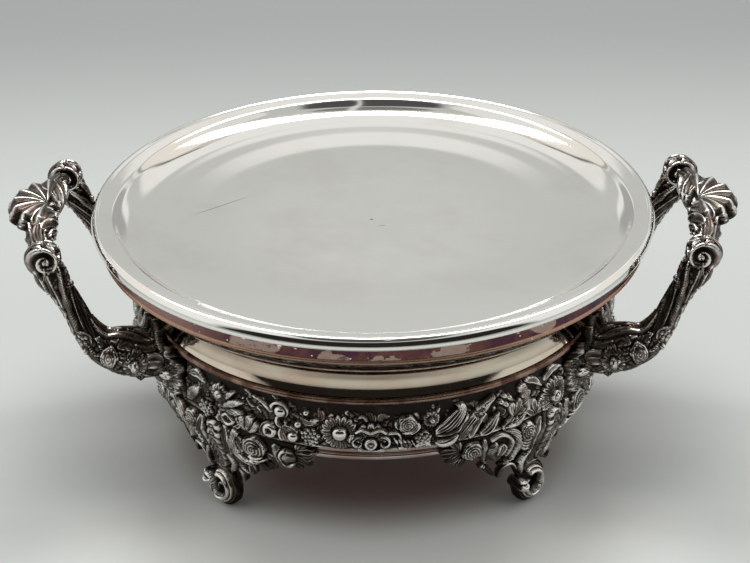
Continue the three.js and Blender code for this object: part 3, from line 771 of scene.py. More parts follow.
        # set out by the golden angle
        for i in range(count):
            reach = radius * math.sqrt((i + 0.4) / count)
            angle = i * 2.39996 + turnBy
            self.berries.append((centre[0] + reach * math.cos(angle), centre[1] + reach * math.sin(angle),
                                 lift + 0.9 * (1 - reach / radius), size))

    def fill(self, seed, count, low, high, size, lift, rise):
        # small leaves and curls in the ground between the flowers
        draw = random.Random(seed)
        left, right = self.across[0] + 1, self.across[-1] - 1
        for _ in range(count):
            at = np.array([draw.uniform(left, right), draw.uniform(low, high)])
            angle, long, curve = draw.uniform(0, 6.28), size * draw.uniform(0.6, 1.3), draw.uniform(-0.5, 0.5)
            style = draw.choice(["cupped", "cupped", "round", "ridged"])
            ahead = np.array([math.cos(angle), math.sin(angle)])
            out = np.array([-ahead[1], ahead[0]])
            path = [at, at + long * (0.5 * ahead + curve * out), at + long * ahead]
            self.leaf(path, long * 0.24, rise * draw.uniform(0.7, 1.3), lift, style,
                      draw.choice(["leaf", "petal", "spindle"]))

    def wear(self):
        # 1 on what stands above its surroundings, 0 in the hollows
        fine = self.face - blurred(self.face, self.metal, 0.9 / self.step)
        broad = self.face - blurred(self.face, self.metal, 3.5 / self.step)
        return np.clip(0.3 + 0.8 * fine + 0.2 * broad, 0, 1) * (0.15 + 0.85 * eased(self.face, 0.2, 1.1))

    def solid(self, place):
        # the front face, a back at its depth behind the ground, and walls round every edge
        metal = self.metal.copy()
        corner = metal[:-1, :-1] & metal[1:, 1:] & ~metal[:-1, 1:] & ~metal[1:, :-1]
        metal[1:, :-1] |= corner
        columns = metal.shape[1]
        if self.wrap:
            metal = np.hstack([metal, metal[:, :1]])
        cell = metal[:-1, :-1] & metal[1:, :-1] & metal[:-1, 1:] & metal[1:, 1:]
        # cells that meet at a corner alone are parted
        touching = cell[:-1, :-1] & cell[1:, 1:] & ~cell[:-1, 1:] & ~cell[1:, :-1]
        cell[:-1, :-1] &= ~touching
        touching = ~cell[:-1, :-1] & ~cell[1:, 1:] & cell[:-1, 1:] & cell[1:, :-1]
        cell[1:, :-1] &= ~touching
        used = np.zeros((metal.shape[0], columns), bool)
        row, column = np.nonzero(cell)
        for down, over in ((0, 0), (1, 0), (0, 1), (1, 1)):
            used[row + down, (column + over) % columns] = True
        count = used.sum()
        number = np.full(used.shape, -1)
        number[used] = np.arange(count)
        front = place(self.a[used], self.z[used], self.face[used])
        back = place(self.a[used], self.z[used], -self.depth[used])
        at = lambda down, over: number[row + down, (column + over) % columns]
        quads = [np.stack([at(0, 0), at(0, 1), at(1, 1), at(1, 0)], -1)]
        quads.append(quads[0][:, ::-1] + count)
        beside = np.pad(cell, 1)
        if self.wrap:
            beside[1:-1, 0], beside[1:-1, -1] = cell[:, -1], cell[:, 0]
        for down, over, first, second in ((-1, 0, (0, 1), (0, 0)), (1, 0, (1, 0), (1, 1)),
                                          (0, -1, (0, 0), (1, 0)), (0, 1, (1, 1), (0, 1))):
            rows, across = beside.shape
            bare = cell & ~beside[1 + down:rows - 1 + down, 1 + over:across - 1 + over]
            r, c = np.nonzero(bare)
            one = number[r + first[0], (c + first[1]) % columns]
            two = number[r + second[0], (c + second[1]) % columns]
            quads.append(np.stack([one, two, two + count, one + count], -1))
        wear = np.concatenate([self.wear()[used], np.full(count, 0.2)])
        return np.vstack([front, back]), np.vstack(quads).tolist(), wear


def roundAxis(angle, reach, z):
    # the angle is taken from the front, towards +X
    return np.stack([reach * np.sin(angle), -reach * np.cos(angle), z], -1)


def berryBall():
    mesh = bpy.data.meshes.new("berryBall")
    shape = bmesh.new()
    bmesh.ops.create_icosphere(shape, subdivisions=2, radius=1)
    shape.to_mesh(mesh)
    shape.free()
    heights = [0.25 + 0.6 * max(0.0, v.co.z) for v in mesh.vertices]
    mesh.attributes.new("wear", "FLOAT", "POINT").data.foreach_set("value", heights)
    form = bpy.data.objects.new("berryBall", mesh)
    bpy.context.scene.collection.objects.link(form)
    return form


def scattered(form, places, normals, sizes):
    # the form stands on each place along its normal, at its size in millimetres
    mesh = bpy.data.meshes.new("places")
    mesh.from_pydata((np.asarray(places) * mm).tolist(), [], [])
    turns = [Vector(n).to_track_quat("Z", "Y").to_euler() for n in normals]
    for label, values in (("turned", turns), ("sized", np.asarray(sizes) * mm)):
        layer = mesh.attributes.new(label, "FLOAT_VECTOR", "POINT")
        layer.data.foreach_set("vector", np.asarray([list(v) for v in values], np.float32).ravel())
    result = runTree(setInPlace, mesh, {"Form": form, "Finish": finishes["castSilver"]})
    points = np.empty(len(result.vertices) * 3, np.float32)
    result.vertices.foreach_get("co", points)
    wear = np.empty(len(result.vertices), np.float32)
    result.attributes["wear"].data.foreach_get("value", wear)
    faces = [list(polygon.vertices) for polygon in result.polygons]
    return points.reshape(-1, 3) / mm, faces, wear


def berriesOf(work, place):
    a, z, lift, size = (np.array(column) for column in zip(*work.berries))
    low, high = place(a, z, lift), place(a, z, lift + 1)
    return scattered(ball, low, high - low, np.repeat(size[:, None], 3, 1))


def turnedHalf(parts):
    return [(points * (-1, -1, 1), faces, wear) for points, faces, wear in parts]


def mirrored(parts):
    return [(points * (1, -1, 1), faces, wear) for points, faces, wear in parts]


def castPiece(name, nodes, parts):
    points, faces, wear = [], [], []
    for partPoints, partFaces, partWear in parts:
        first = sum(len(p) for p in points)
        points.append(partPoints)
        faces += [[corner + first for corner in face] for face in partFaces]
        wear.append(partWear)
    piece = linkPiece(name, meshOf(name, np.vstack(points), faces, np.concatenate(wear)), "castSilver")
    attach(piece, "base")
    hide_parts(*nodes)


ball = berryBall()


# Flower band, made once and set in front and behind
band = {"ground": 117.4, "measured": 119.0, "half": 109.6, "low": 56.8, "high": 82.2, "step": 0.4,
        "depth": 0.5, "field": 0.15}


def bandPlace(a, z, height):
    # a is an arc's length, at the radius it was measured at
    return roundAxis(a / band["measured"], band["ground"] + height, z)


def flowerBand():
    half = band["half"]
    work = Relief(-half, half, band["low"], band["high"], band["step"], band["depth"])
    work.cover(band["field"])
    work.fill(3, 330, 58, 77, size=5.5, lift=0.35, rise=0.9)
    # bottom edge, a plain fillet
    work.cord([(-half, 57.3), (0, 57.3), (half, 57.3)], 0.9, 0.9, 0.5)

    # left of the middle, from the bracket inwards
    work.leaf([(-108, 60), (-103, 66), (-97, 71)], 3.2, 1.8, 1, "ridged")
    work.leaf([(-105, 76), (-99, 78), (-93, 75)], 2.2, 1.5, 1)
    work.fan((-84, 66.5), (-67, 73.5), 42, 3, 2.2, 2.0, 1.2, "fluted", "leaf")
    work.daisy((-83, 73), 5.6, 9, 1.8, 1.2, 0.38, 1.2, ringed=True)
    work.grapes((-92, 61.5), 4.6, 15, 1.45, 1.6)
    work.dome((-92, 61.5), 5.2, 1.2, 0.6)
    work.fan((-78, 55.8), (-78, 65.5), 120, 5, 2.0, 1.7, 1.0)
    work.cord([(-82, 61), (-78, 57.8), (-74, 60.5), (-78, 63.5), (-81, 61.5)], 1.0, 1.7, 1.6)
    work.fan((-65.6, 57.6), (-63.5, 67.5), 62, 3, 2.2, 2.2, 1.4, "fluted")
    work.leaf([(-58, 57.4), (-55.5, 63.5), (-51, 66.2)], 2.1, 1.9, 1.1)
    work.dome((-53.2, 61.6), 4.1, 2.2, 1.5)
    work.dome((-53.2, 61.6), 1.5, 0.3, 0.4)
    work.vine(spiralLine((-47, 74), 5.5, 3.6, 200, -60), 1.1, 1.6, 1.2)
    work.dome((-47, 74), 3.1, 2.8, 1.5)
    work.vine(spiralLine((-46.2, 68.2), 3.4, 1.6, 120, 420), 0.9, 1.6, 1.3)
    work.vine([(-52, 72), (-57, 77), (-63, 79)], 1.4, 1.3, 0.9)
    work.fan((-46, 66), (-40.6, 58.6), 60, 3, 2.3, 2.0, 1.3)
    work.dome((-40.6, 61), 2.9, 2.6, 1.6)
    work.dome((-37.8, 68.6), 1.9, 2.2, 1.4)
    work.dome((-33.6, 75.6), 1.6, 1.8, 1.2)
    work.dome((-31.6, 62.4), 5.0, 1.0, 0.6)
    work.grapes((-31.6, 62.4), 4.7, 19, 1.25, 1.4, 2)
    work.leaf([(-37, 72), (-32, 70), (-27, 73)], 1.5, 1.4, 1)
    work.daisy((-17, 66.4), 9.4, 17, 1.9, 1.1, 0.4, 1.5)
    work.dome((-10.9, 63.6), 2.6, 2.9, 1.5, rings=2)

    # middle: a small shell over a plain boss, between two volutes
    work.cord([(-8, 57.6), (-2, 55.6), (4.5, 57.6)], 1.3, 1.9, 1.2)
    work.fan((-1.9, 62.4), (-1.9, 72.2), 150, 7, 1.7, 1.9, 1.3)
    work.vine(spiralLine((-8.0, 61.4), 3.4, 1.1, 60, 420), 1.0, 2.0, 1.5)
    work.vine(spiralLine((4.4, 61.4), 3.4, 1.1, 120, -240), 1.0, 2.0, 1.5)
    work.dome((-1.9, 61.0), 3.7, 2.2, 1.7, rings=1.5)
    work.cord([(-9.5, 66.8), (-6, 69), (-2, 67.4), (2.4, 69), (6, 66.8)], 0.9, 2.3, 1.7)
    work.vine([(5.5, 66), (11, 66.5), (13.5, 61)], 1.0, 1.8, 1.2)

    # right of the middle
    for i in range(5):
        work.pod([(9.2 + 2.2 * i, 63.6 - 0.5 * i), (11.4 + 2.2 * i, 60.4 - 0.5 * i)], 0.9, 1.8, 1.2)
    work.fan((16, 56.5), (12, 59.4), 120, 4, 1.3, 1.5, 1.0)
    work.leaf([(16, 67), (11, 71), (14.4, 76)], 1.5, 1.7, 1.1)
    work.rose((16, 71), 5.0, 2.4, 1.2, 0.6)
    work.leaf([(13, 66.4), (18, 67.2), (22, 70.8)], 1.5, 2.2, 1.8, "cupped", "petal")
    work.dome((23.4, 62.4), 4.3, 2.2, 1.1)
    work.grapes((23.4, 62.4), 3.9, 15, 1.05, 2.4, 3)
    work.leaf([(19.6, 58.2), (23.5, 60.4), (27.4, 58.2)], 1.3, 1.6, 2.4)
    work.daisy((27.8, 72.2), 4.4, 8, 1.7, 1.1, 0.34, 1.2)
    work.leaf([(30, 63.6), (37, 68), (43, 75.8), (40, 79)], 4.2, 2.2, 1.2, "fluted")
    work.pod([(30, 62.8), (38.5, 63.2), (44.6, 67), (46, 73)], 1.7, 2.0, 1.5)
    work.pod([(29.4, 59.4), (33, 58.4), (37.4, 59.4), (40.6, 62.6)], 2.9, 3.2, 1.4)
    work.leaf([(41.6, 57.8), (49, 68), (60.6, 78.5)], 3.2, 2.4, 1.2, "fluted")
    work.leaf([(47.6, 57.6), (50.8, 65), (56.4, 70)], 1.9, 2.0, 1.5)
    work.leaf([(53.6, 57.6), (59, 61.5), (63.8, 68.4)], 2.6, 2.2, 1.3)
    work.daisy((52.4, 71.6), 2.9, 5, 1.7, 1.8, 0.3, 1.0)
    for spot in ((64.6, 73.6), (67.6, 71.2), (69.4, 74.8), (66.4, 76.6)):
        work.dome(spot, 1.5, 2.2, 1.4)
    work.leaf([(66.2, 57), (72, 61), (76.4, 68.4)], 2.4, 2.3, 1.4)
    work.leaf([(68, 57.4), (76, 58.6), (80, 63)], 2.0, 2.0, 1.3, "fluted")
    work.fan((73.4, 62), (76.6, 71.4), 64, 3, 1.7, 2.0, 1.3)
    work.leaf([(76, 78.6), (80, 73.4), (82.6, 60)], 3.4, 2.0, 1.2, "ridged", lobes=4)
    work.fan((88, 58), (85.6, 67), 80, 3, 1.6, 1.6, 1.2)
    work.leaf([(80, 80), (86, 78), (91, 73)], 1.7, 1.6, 1.1)
    work.daisy((101, 63.4), 10.2, 19, 2.1, 1.3, 0.34, 1.4, ringed=True)
    work.leaf([(93, 75), (99, 79), (107, 77.6)], 1.9, 1.7, 1.1)
    parts = [work.solid(bandPlace), berriesOf(work, bandPlace)]
    castPiece("flowerBandFront", ["gallery_front"], parts)
    castPiece("flowerBandBack", ["gallery_back"], turnedHalf(parts))


flowerBand()
print("flower bands made")

# Feet: a slanting leg over a scroll, between two openwork leaf brackets; made once and set four times
foot = {"ground": 117.0, "knee": 47.7, "kneeLow": 20, "lean": 0.42, "kick": 3.2, "kickHeights": (15, 32),
        "low": 0.0, "high": 56.2, "left": -60.0, "right": 64.0, "step": 0.4, "depth": 0.9,
        "scroll": (1.2, 11.5), "studRadius": 2.0, "studOut": 104.0, "studHeights": (44.6, 52.2),
        "studFacets": 24, "lugOut": (99.5, 117.5), "lugHalf": 5.0, "lugHeights": (44.2, 47.7),
        "places": {"front_right": 45, "back_right": 135, "back_left": 225, "front_left": -45}}


def footPlace(middle):
    def place(a, z, height):
        knee = foot["knee"]
        ground = foot["ground"] - foot["lean"] * np.clip(knee - z, 0, knee - foot["kneeLow"])
        ground = ground + foot["kick"] * (1 - eased(z, *foot["kickHeights"]))
        return roundAxis(math.radians(middle) + a / foot["ground"], ground + height, z)
    return place


def footRelief():
    work = Relief(foot["left"], foot["right"], foot["low"], foot["high"], foot["step"], foot["depth"])
    # the web that ties the leaves together
    work.cord([(-52, 53.5), (-20, 53.5), (20, 53.5), (56, 53.5)], 2.6, 0.4, 0.5)
    work.cord([(-40, 50), (-24, 46), (-8, 44), (10, 44), (26, 46), (44, 50)], 6.5, 0.4, 0.4)
    work.pod([(-22, 42), (-14, 34), (-6, 28)], 6, 0.4, 0.4)
    work.pod([(26, 42), (20, 34), (10, 26)], 7, 0.4, 0.4)

    # right-hand bracket
    work.fan((53, 52), (63, 52.4), 100, 3, 2.6, 1.9, 1.0)
    work.leaf([(53, 50), (60, 50.2), (63.2, 53.6)], 2.3, 2.0, 1.2)
    work.leaf([(53, 48.6), (59, 46), (61.4, 45.2)], 2.2, 1.9, 1.1)
    work.leaf([(51, 46.6), (54, 42), (55, 39.6)], 1.9, 1.8, 1.0)
    work.leaf([(41, 53.6), (44, 48), (42, 41)], 2.6, 1.9, 1.1, "fluted")
    work.leaf([(36, 47), (40.6, 44), (41, 39)], 2.0, 1.7, 1.0)
    work.dome((48.4, 47.6), 4.9, 3.0, 1.2)
    work.vine(spiralLine((48.4, 47.8), 4.0, 2.4, 100, 330), 0.95, 1.2, 2.8)
    work.pod([(44.6, 45.4), (48.6, 42.4), (52.6, 45.6)], 1.7, 2.6, 1.9)
    work.leaf([(24, 34), (23.6, 30), (23.4, 26.4)], 2.7, 1.7, 0.9, "cupped", "petal")
    work.leaf([(30.5, 38.6), (32.5, 35), (33.8, 31.6)], 2.7, 1.7, 0.9, "cupped", "petal")
    work.leaf([(36, 41), (37.8, 38), (38.4, 34.8)], 2.0, 1.6, 0.9, "cupped", "petal")
    work.leaf([(19.5, 55), (17.6, 48), (18.4, 41.4), (22.4, 37.6), (28.6, 37.4), (35.4, 41.2)],
              2.2, 2.6, 1.4, "fluted", "tail")
    work.vine([(14.6, 54), (13.4, 47), (15.4, 40), (20, 35), (27, 33.6)], 1.8, 2.2, 1.2)
    work.leaf([(21, 52), (22.4, 46.6), (21.6, 42)], 1.8, 2.0, 1.4)
    work.rose((30.4, 48.6), 7.0, 3.0, 1.5, 0.4)
    work.pod([(25, 41.4), (31, 40), (37, 43.6)], 1.2, 2.4, 2.2)
    work.pod([(26.4, 43.4), (31, 42.2), (35.6, 45)], 1.0, 2.4, 2.6)
    work.leaf([(13, 38), (15, 30), (21, 25.6)], 2.4, 1.8, 1.0, "ridged")
    work.vine([(8, 30), (14.4, 27), (17.4, 20.8), (14, 18)], 1.7, 2.0, 1.1)

    # left-hand bracket
    work.fan((-50, 50.6), (-60, 51), 110, 3, 2.7, 1.9, 1.0)
    work.leaf([(-50, 48), (-55, 45.4), (-57.6, 44.4)], 2.3, 1.9, 1.1)
    work.leaf([(-47, 47), (-49, 42), (-50, 38.6)], 2.3, 1.9, 1.1)
    work.leaf([(-36.5, 54), (-37.5, 46), (-35, 38)], 2.2, 1.8, 1.0, "fluted")
    work.leaf([(-33, 40), (-35, 36.4), (-34, 33.4)], 1.6, 1.8, 1.1, "round", "petal")
    work.dome((-35.8, 35.6), 1.6, 2.0, 1.2)
    work.rose((-43.6, 48.8), 5.8, 2.4, 1.4, 1.1)
    work.leaf([(-33, 34), (-29, 29), (-24.9, 24.4)], 1.9, 1.7, 1.0)
    work.vine([(-22.4, 22), (-20, 28.4), (-14, 28), (-9.6, 22), (-8, 17)], 1.7, 2.2, 1.2)
    work.leaf([(-24, 30.6), (-19, 32), (-13, 31)], 1.5, 1.8, 1.0)
    work.leaf([(-26.6, 55.4), (-19, 52), (-15.6, 45), (-17, 36), (-22.6, 31.6)],
              2.4, 2.8, 1.5, "fluted", "tail")
    work.vine([(-33, 52), (-27, 54), (-21.6, 50), (-20, 43), (-22, 36)], 1.6, 2.2, 1.3)
    work.leaf([(-30, 50), (-31.6, 43), (-27.4, 37)], 3.0, 2.0, 1.2, "ridged")
    work.leaf([(-26.4, 48), (-25.4, 43), (-27.8, 39)], 2.4, 2.2, 1.6, "cupped", "spindle")
    work.rose((-11.2, 50.0), 5.4, 2.6, 1.6, 2.0)
    for i, level in enumerate((45.6, 43.2, 40.6, 38)):
        path = [(-14.6 + i * 0.9, level + 1.4), (-10.4 + i * 0.7, level - 1.4), (-5.6 + i * 0.3, level + 1.2)]
        work.pod(path, 1.25, 2.2, 1.7)

    # leg: scales that come down to the scroll, with a long leaf on either side
    work.cord([(6.5, 56.2), (6.8, 46), (4.4, 34), (2, 24), (0, 18)], 6.2, 3.0, 1.4, depth=6.5)
    work.leaf([(-3, 56), (-5.4, 44), (-3.6, 32), (-3, 24)], 2.3, 2.2, 2.0)
    work.leaf([(12.6, 56), (13, 44), (9.6, 32), (6, 24)], 2.2, 2.2, 2.0)
    for i in range(7):
        middle, level = 6.6 - 0.06 * i ** 2, 53.6 - 4.3 * i
        work.dome((middle, level), 4.3 - 0.12 * i, 1.4, 4.0 - 0.1 * i, rings=1.6)
    work.leaf([(9, 22), (12.6, 30), (11, 37)], 2.0, 2.4, 2.4, "ridged")
    work.leaf([(-6, 18), (-8, 26), (-4.4, 35)], 2.0, 2.4, 2.4, "ridged")

    # scroll foot: ribs that step forward round a dark hollow
    centre, disc = foot["scroll"], 11
    for window, reach, angle in work.around(centre, disc):
        work.lay(window, reach - disc, np.full(reach.shape, 0.2), 0.2, depth=1.4)
    for radius, lift, depth in ((10.8, 0.2, 1.4), (9.4, 1.9, 3.0), (7.9, 3.6, 4.2), (6.4, 5.0, 5.0)):
        work.cord(spiralLine(centre, radius, radius, 118, -186, 44), 1.0, 1.7, lift, depth)
    work.vine(spiralLine((centre[0] - 0.8, centre[1] - 1.4), 3.6, 1.2, -80, -330), 0.9, 1.8, 1.4)
    work.dome((centre[0] - 8.6, centre[1] + 1.4), 3.2, 3.9, 4.6, depth=4)
    work.pod([(-10.6, 18.0), (-9.0, 15.2), (-4.6, 13.8)], 1.1, 1.8, 4.6)
    return work


def footStud(middle):
    # stands on the lug behind the leg, up into the body
    radius, out, angle = foot["studRadius"], foot["studOut"], math.radians(middle)
    low, high = foot["studHeights"]
    points, faces = turned([(0, low), (radius, low), (radius, high), (0, high)], foot["studFacets"])
    shift = (out * math.sin(angle), -out * math.cos(angle), 0)
    return np.array(points) + shift, faces, np.full(len(points), 0.3)


def footLug(middle):
    half, angle = foot["lugHalf"], math.radians(middle)
    ahead = np.array([math.sin(angle), -math.cos(angle), 0])
    aside = np.array([math.cos(angle), math.sin(angle), 0])
    points = [out * ahead + across * aside + (0, 0, z)
              for out in foot["lugOut"] for across in (-half, half) for z in foot["lugHeights"]]
    faces = [[0, 1, 3, 2], [4, 6, 7, 5], [0, 4, 5, 1], [2, 3, 7, 6], [0, 2, 6, 4], [1, 5, 7, 3]]
    return np.array(points), faces, np.full(8, 0.2)


def feet():
    work = footRelief()
    for name, middle in foot["places"].items():
        castPiece("footCasting_" + name, ["foot_" + name, f"leaf_{name}_near", f"leaf_{name}_far"],
                  [work.solid(footPlace(middle)), footLug(middle), footStud(middle)])


feet()
print("feet made")

# Brackets and handles are worked on the +X side, and turned half round for the left
bracket = {
    "half": 70.7, "low": 56.8, "high": 97.0, "step": 0.45, "depth": 0.5, "field": 0.15,
    "levels": (56.8, 62, 80, 97), "reaches": (119.6, 123.0, 123.0, 121.2),
    # both ends thin out to this reach, below the bead
    "thinReach": 118.2, "thinAcross": (54, 66), "thinHeights": (76, 82),
    "waist": 82.0, "behindLow": 117.0, "behindHigh": 120.75, "thinnest": 0.45,
    "edgeAcross": (0, 9, 13, 21, 28, 33, 40, 47, 52, 57, 61, 66, 70.7),
    "edgeHeights": (88, 86, 90, 86, 87, 92, 93, 92, 86, 85, 88, 80, 70), "edgeDrop": 5,
}


def bracketGround(y, z):
    ground = np.interp(z, bracket["levels"], bracket["reaches"])
    thin = eased(np.abs(y), *bracket["thinAcross"]) * (1 - eased(z, *bracket["thinHeights"]))
    return ground + (bracket["thinReach"] - ground) * thin


def bracketPlace(y, z, height):
    # y is measured straight across, so both ends stay plane
    reach = bracketGround(y, z) + height
    return np.stack([np.sqrt(reach ** 2 - y ** 2), y, z], -1)


def bracketRelief():
    half = bracket["half"]
    work = Relief(-half, half, bracket["low"], bracket["high"], bracket["step"], bracket["depth"])
    edge = np.interp(np.abs(work.a), bracket["edgeAcross"], bracket["edgeHeights"])
    work.metal |= work.z < edge - bracket["edgeDrop"]
    work.face[:] = bracket["field"]
    work.fill(11, 260, 58, 82, size=6.5, lift=0.35, rise=1.1)
    for s in (-1, 1):
        leafAt = lambda points, *rest: work.leaf([(s * y, z) for y, z in points], *rest)
        leafAt([(4, 72), (8, 82), (13, 92)], 3.4, 2.0, 1.0, "ridged", "leaf", 4)
        leafAt([(30, 74), (35, 86), (41, 96.4)], 4.2, 2.2, 1.0, "ridged", "leaf", 4)
        leafAt([(24, 76), (25, 83), (22, 90)], 2.6, 1.8, 0.9)
        leafAt([(40, 76), (46, 88), (48, 96.4)], 4.0, 2.4, 1.2, "fluted")
        leafAt([(48, 78), (55, 87), (54, 95)], 3.0, 2.0, 1.1)
        leafAt([(56, 76), (61, 84), (60, 92)], 3.2, 2.2, 1.2, "ridged", "leaf", 3)
        leafAt([(58, 74), (66, 80), (68, 87)], 2.8, 2.0, 1.3)
        leafAt([(60, 72), (68, 73), (70.2, 78)], 2.4, 2.0, 1.3)
        leafAt([(2, 60), (10, 62), (20, 58.6)], 2.6, 2.0, 1.0, "fluted")
        leafAt([(22, 60), (30, 66), (38, 62)], 3.0, 2.0, 1.0, "ridged")
        leafAt([(56, 58.6), (62, 57.6), (69, 60)], 2.2, 2.2, 1.4)
        leafAt([(50, 60), (55, 60), (60, 63)], 2.0, 2.0, 1.3)
        work.daisy((s * 62.5, 66.5), 7.4, 13, 2.2, 1.4, 0.34, 1.3, ringed=True)
        work.rose((s * 27, 74), 6.6, 2.8, 1.4, 0.8)
        work.daisy((s * 13, 68.5), 6.6, 11, 2.0, 1.2, 0.36, 1.2)
        work.dome((s * 35.5, 71), 3.2, 2.6, 1.3)
        work.grapes((s * 20.5, 64), 3.6, 11, 1.3, 1.6, 4)
    for side in (1, -1):
        work.scroll([(0, 62), (0, 72), (0, 86)], 3.0, 2.6, 1.2, 4, side, 5)
    behind = np.where(work.z < bracket["waist"], bracket["behindLow"], bracket["behindHigh"])
    work.depth = np.maximum(bracketGround(work.a, work.z) - behind, bracket["thinnest"])
    return work


# Handles
handle = {
    "root": (116.3, 51.8, 72.0), "knuckle": (165.0, 47.0, 125.0), "armRadius": 4.7, "rootFlare": 12.2,
    # the ground between the leaves is sunk under the arm's own radius
    "field": 0.1, "sunk": 0.7, "armGirth": 42.0, "armStep": 0.42, "armDepth": 1.6,
    # shares of the way from root to knuckle along X, Y and Z, and of the root's flare
    "armBends": ((0, 0, 0.04, 1), (0.24, -0.3, 0.08, 0.85), (0.45, -0.25, 0.15, 0.45), (0.6, 0.1, 0.3, 0.15),
                 (0.71, 0.5, 0.49, 0.02), (0.83, 0.8, 0.7, 0.1), (0.92, 0.9, 0.86, 0.3), (1, 1, 1, 0.12)),
}


class Bar:
    # a line through points with a radius at each, and the frame that a relief is laid round it
    def __init__(self, points, radii, aside):
        line = smoothLine(np.column_stack([points, radii]), 24)
        gaps = np.linalg.norm(np.diff(line[:, :3], axis=0), axis=1)
        self.at = np.concatenate([[0], np.cumsum(gaps)])
        self.length = self.at[-1]
        self.line = line
        ahead = np.gradient(line[:, :3], axis=0)
        ahead /= np.linalg.norm(ahead, axis=1)[:, None]
        aside = np.asarray(aside, float)
        side = aside - (ahead @ aside)[:, None] * ahead
        self.side = side / np.linalg.norm(side, axis=1)[:, None]
        self.up = np.cross(self.side, ahead)

    def place(self, girth):
        def put(a, s, height):
            sample = lambda values: np.stack([np.interp(s, self.at, column) for column in values.T], -1)
            middle, side, up = sample(self.line), sample(self.side), sample(self.up)
            angle = 2 * math.pi * a / girth
            reach = (middle[..., 3] + height)[..., None]
            return middle[..., :3] + reach * (np.cos(angle)[..., None] * up + np.sin(angle)[..., None] * side)
        return put


def sleeve(girth, low, high, step, depth):
    # a relief that wraps right round, metal all over
    work = Relief(0, girth, low, high, step, depth, girth)
    work.cover(handle["field"])
    return work


def armBar():
    root, knuckle = np.array(handle["root"]), np.array(handle["knuckle"])
    radius, flare = handle["armRadius"], handle["rootFlare"]
    points = [root + (knuckle - root) * bend[:3] for bend in handle["armBends"]]
    radii = [radius + (flare - radius) * bend[3] - handle["sunk"] for bend in handle["armBends"]]
    # one more point, further in and a little wider, seats the root in the bracket
    points.insert(0, points[0] * (0.945, 0.945, 1))
    radii.insert(0, radii[0] + 1)
    return Bar(points, radii, (0, 1, 0))


def armRelief(bar):
    # a runs round the bar from its under and outer side, up its far side first; z runs along it
    girth, long = handle["armGirth"], bar.length
    work = sleeve(girth, 0, long, handle["armStep"], handle["armDepth"])
    work.fill(21, 190, 2, long - 4, size=6.5, lift=0.3, rise=1.0)
    for i in range(8):
        a, reach = girth * i / 8, 34 + 9 * (i % 2)
        work.leaf([(a - 1, 4), (a + 1.2, reach * 0.55), (a + 3.0, reach)], 2.8, 1.5, 0.5, "fluted")
        work.leaf([(a + 2.4, 2), (a + 3.4, 11), (a + 1.4, 20)], 2.2, 1.6, 0.8)
    for i in range(6):
        a, odd = girth * i / 6 + 2, i % 2
        work.leaf([(a - 3, long * 0.42), (a, long * 0.62), (a + 4.5, long * 0.8), (a + 9, long * 0.98)],
                  3.0, 1.7, 0.5, "ridged" if odd else "cupped", "leaf", 5 * odd)
    for s in (-1, 1):
        for a, at in ((4, 17), (15, 17.5), (14, 30.5), (6.4, 27), (10, 6.5), (9, 38), (3.4, 9)):
            work.leaf([(s * a, at - 4), (s * a + 1.5, at), (s * a - 0.6, at + 4.5)], 2.3, 1.7, 0.8)
        work.daisy((s * 9.8, 12.5), 5.2, 11, 1.9, 1.2, 0.34, 1.3, ringed=True)
        work.rose((s * 10.6, 24.4), 4.3, 2.4, 1.1, 0.6)
        work.daisy((s * 6.6, 33.6), 3.2, 7, 1.7, 1.1, 0.36, 1.2)
        work.leaf([(s * 17, 6), (s * 19, 20), (s * 17.5, 34), (s * 18.5, 46)], 1.6, 1.7, 0.8, "round")
    # leaves and berries down the outer side, and a spur inside under the knuckle
    for share in (0.4, 0.5, 0.6, 0.7, 0.8):
        at = long * share
        for s in (1, -1):
            work.leaf([(0, at), (s * 3.5, at + 4), (s * 4.5, at + 9)], 2.2, 1.9, 0.9)
        work.dome((0, at + 1.5), 1.7, 1.6, 1.4)
    for a in (-7.5, 7.5):
        work.grapes((a % girth, long * 0.46), 3.0, 8, 1.35, 1.0, 2)
    for a, end in ((0, 0.84), (3.5, 0.8), (-3.5, 0.82)):
        work.leaf([(a * 0.5, long * 0.985), (a * 1.4, long * 0.92), (a, long * end)], 2.4, 2.2, 1.1)
    inner = girth / 2
    work.dome((inner, long * 0.78), 2.6, 1.8, 0.8)
    work.leaf([(inner, long * 0.78), (inner, long * 0.7), (inner + 0.5, long * 0.6)], 2.0, 1.2, 0.7, "round")
    return work


def rootDaisy():
    # a flower on the outer side of the arm's root, with leaves round it
    size = {"centre": (121.0, 61.5, 73.5), "facing": (0.42, 0.88, 0.12), "radius": 7.6, "bow": 0.035,
            "half": 12, "step": 0.36, "depth": 3.5}
    half = size["half"]
    work = Relief(-half, half, -half, half, size["step"], size["depth"])
    for angle in range(0, 360, 45):
        turn = math.radians(angle + 12)
        tip = np.array([math.cos(turn), math.sin(turn)])
        work.leaf([tip * 3, tip * 7 + (0.8, 0), tip * 10.8], 2.6, 1.6, 0.4)
    work.daisy((0, 0), size["radius"], 13, 2.0, 1.2, 0.34, 1.4, ringed=True)
    facing = np.array(size["facing"]) / np.linalg.norm(size["facing"])
    right = np.cross((0, 0, 1), facing)
    right /= np.linalg.norm(right)
    up = np.cross(facing, right)

    def place(a, z, height):
        bowed = height - size["bow"] * (a ** 2 + z ** 2)
        return np.array(size["centre"]) + a[..., None] * right + z[..., None] * up + bowed[..., None] * facing
    return work.solid(place)


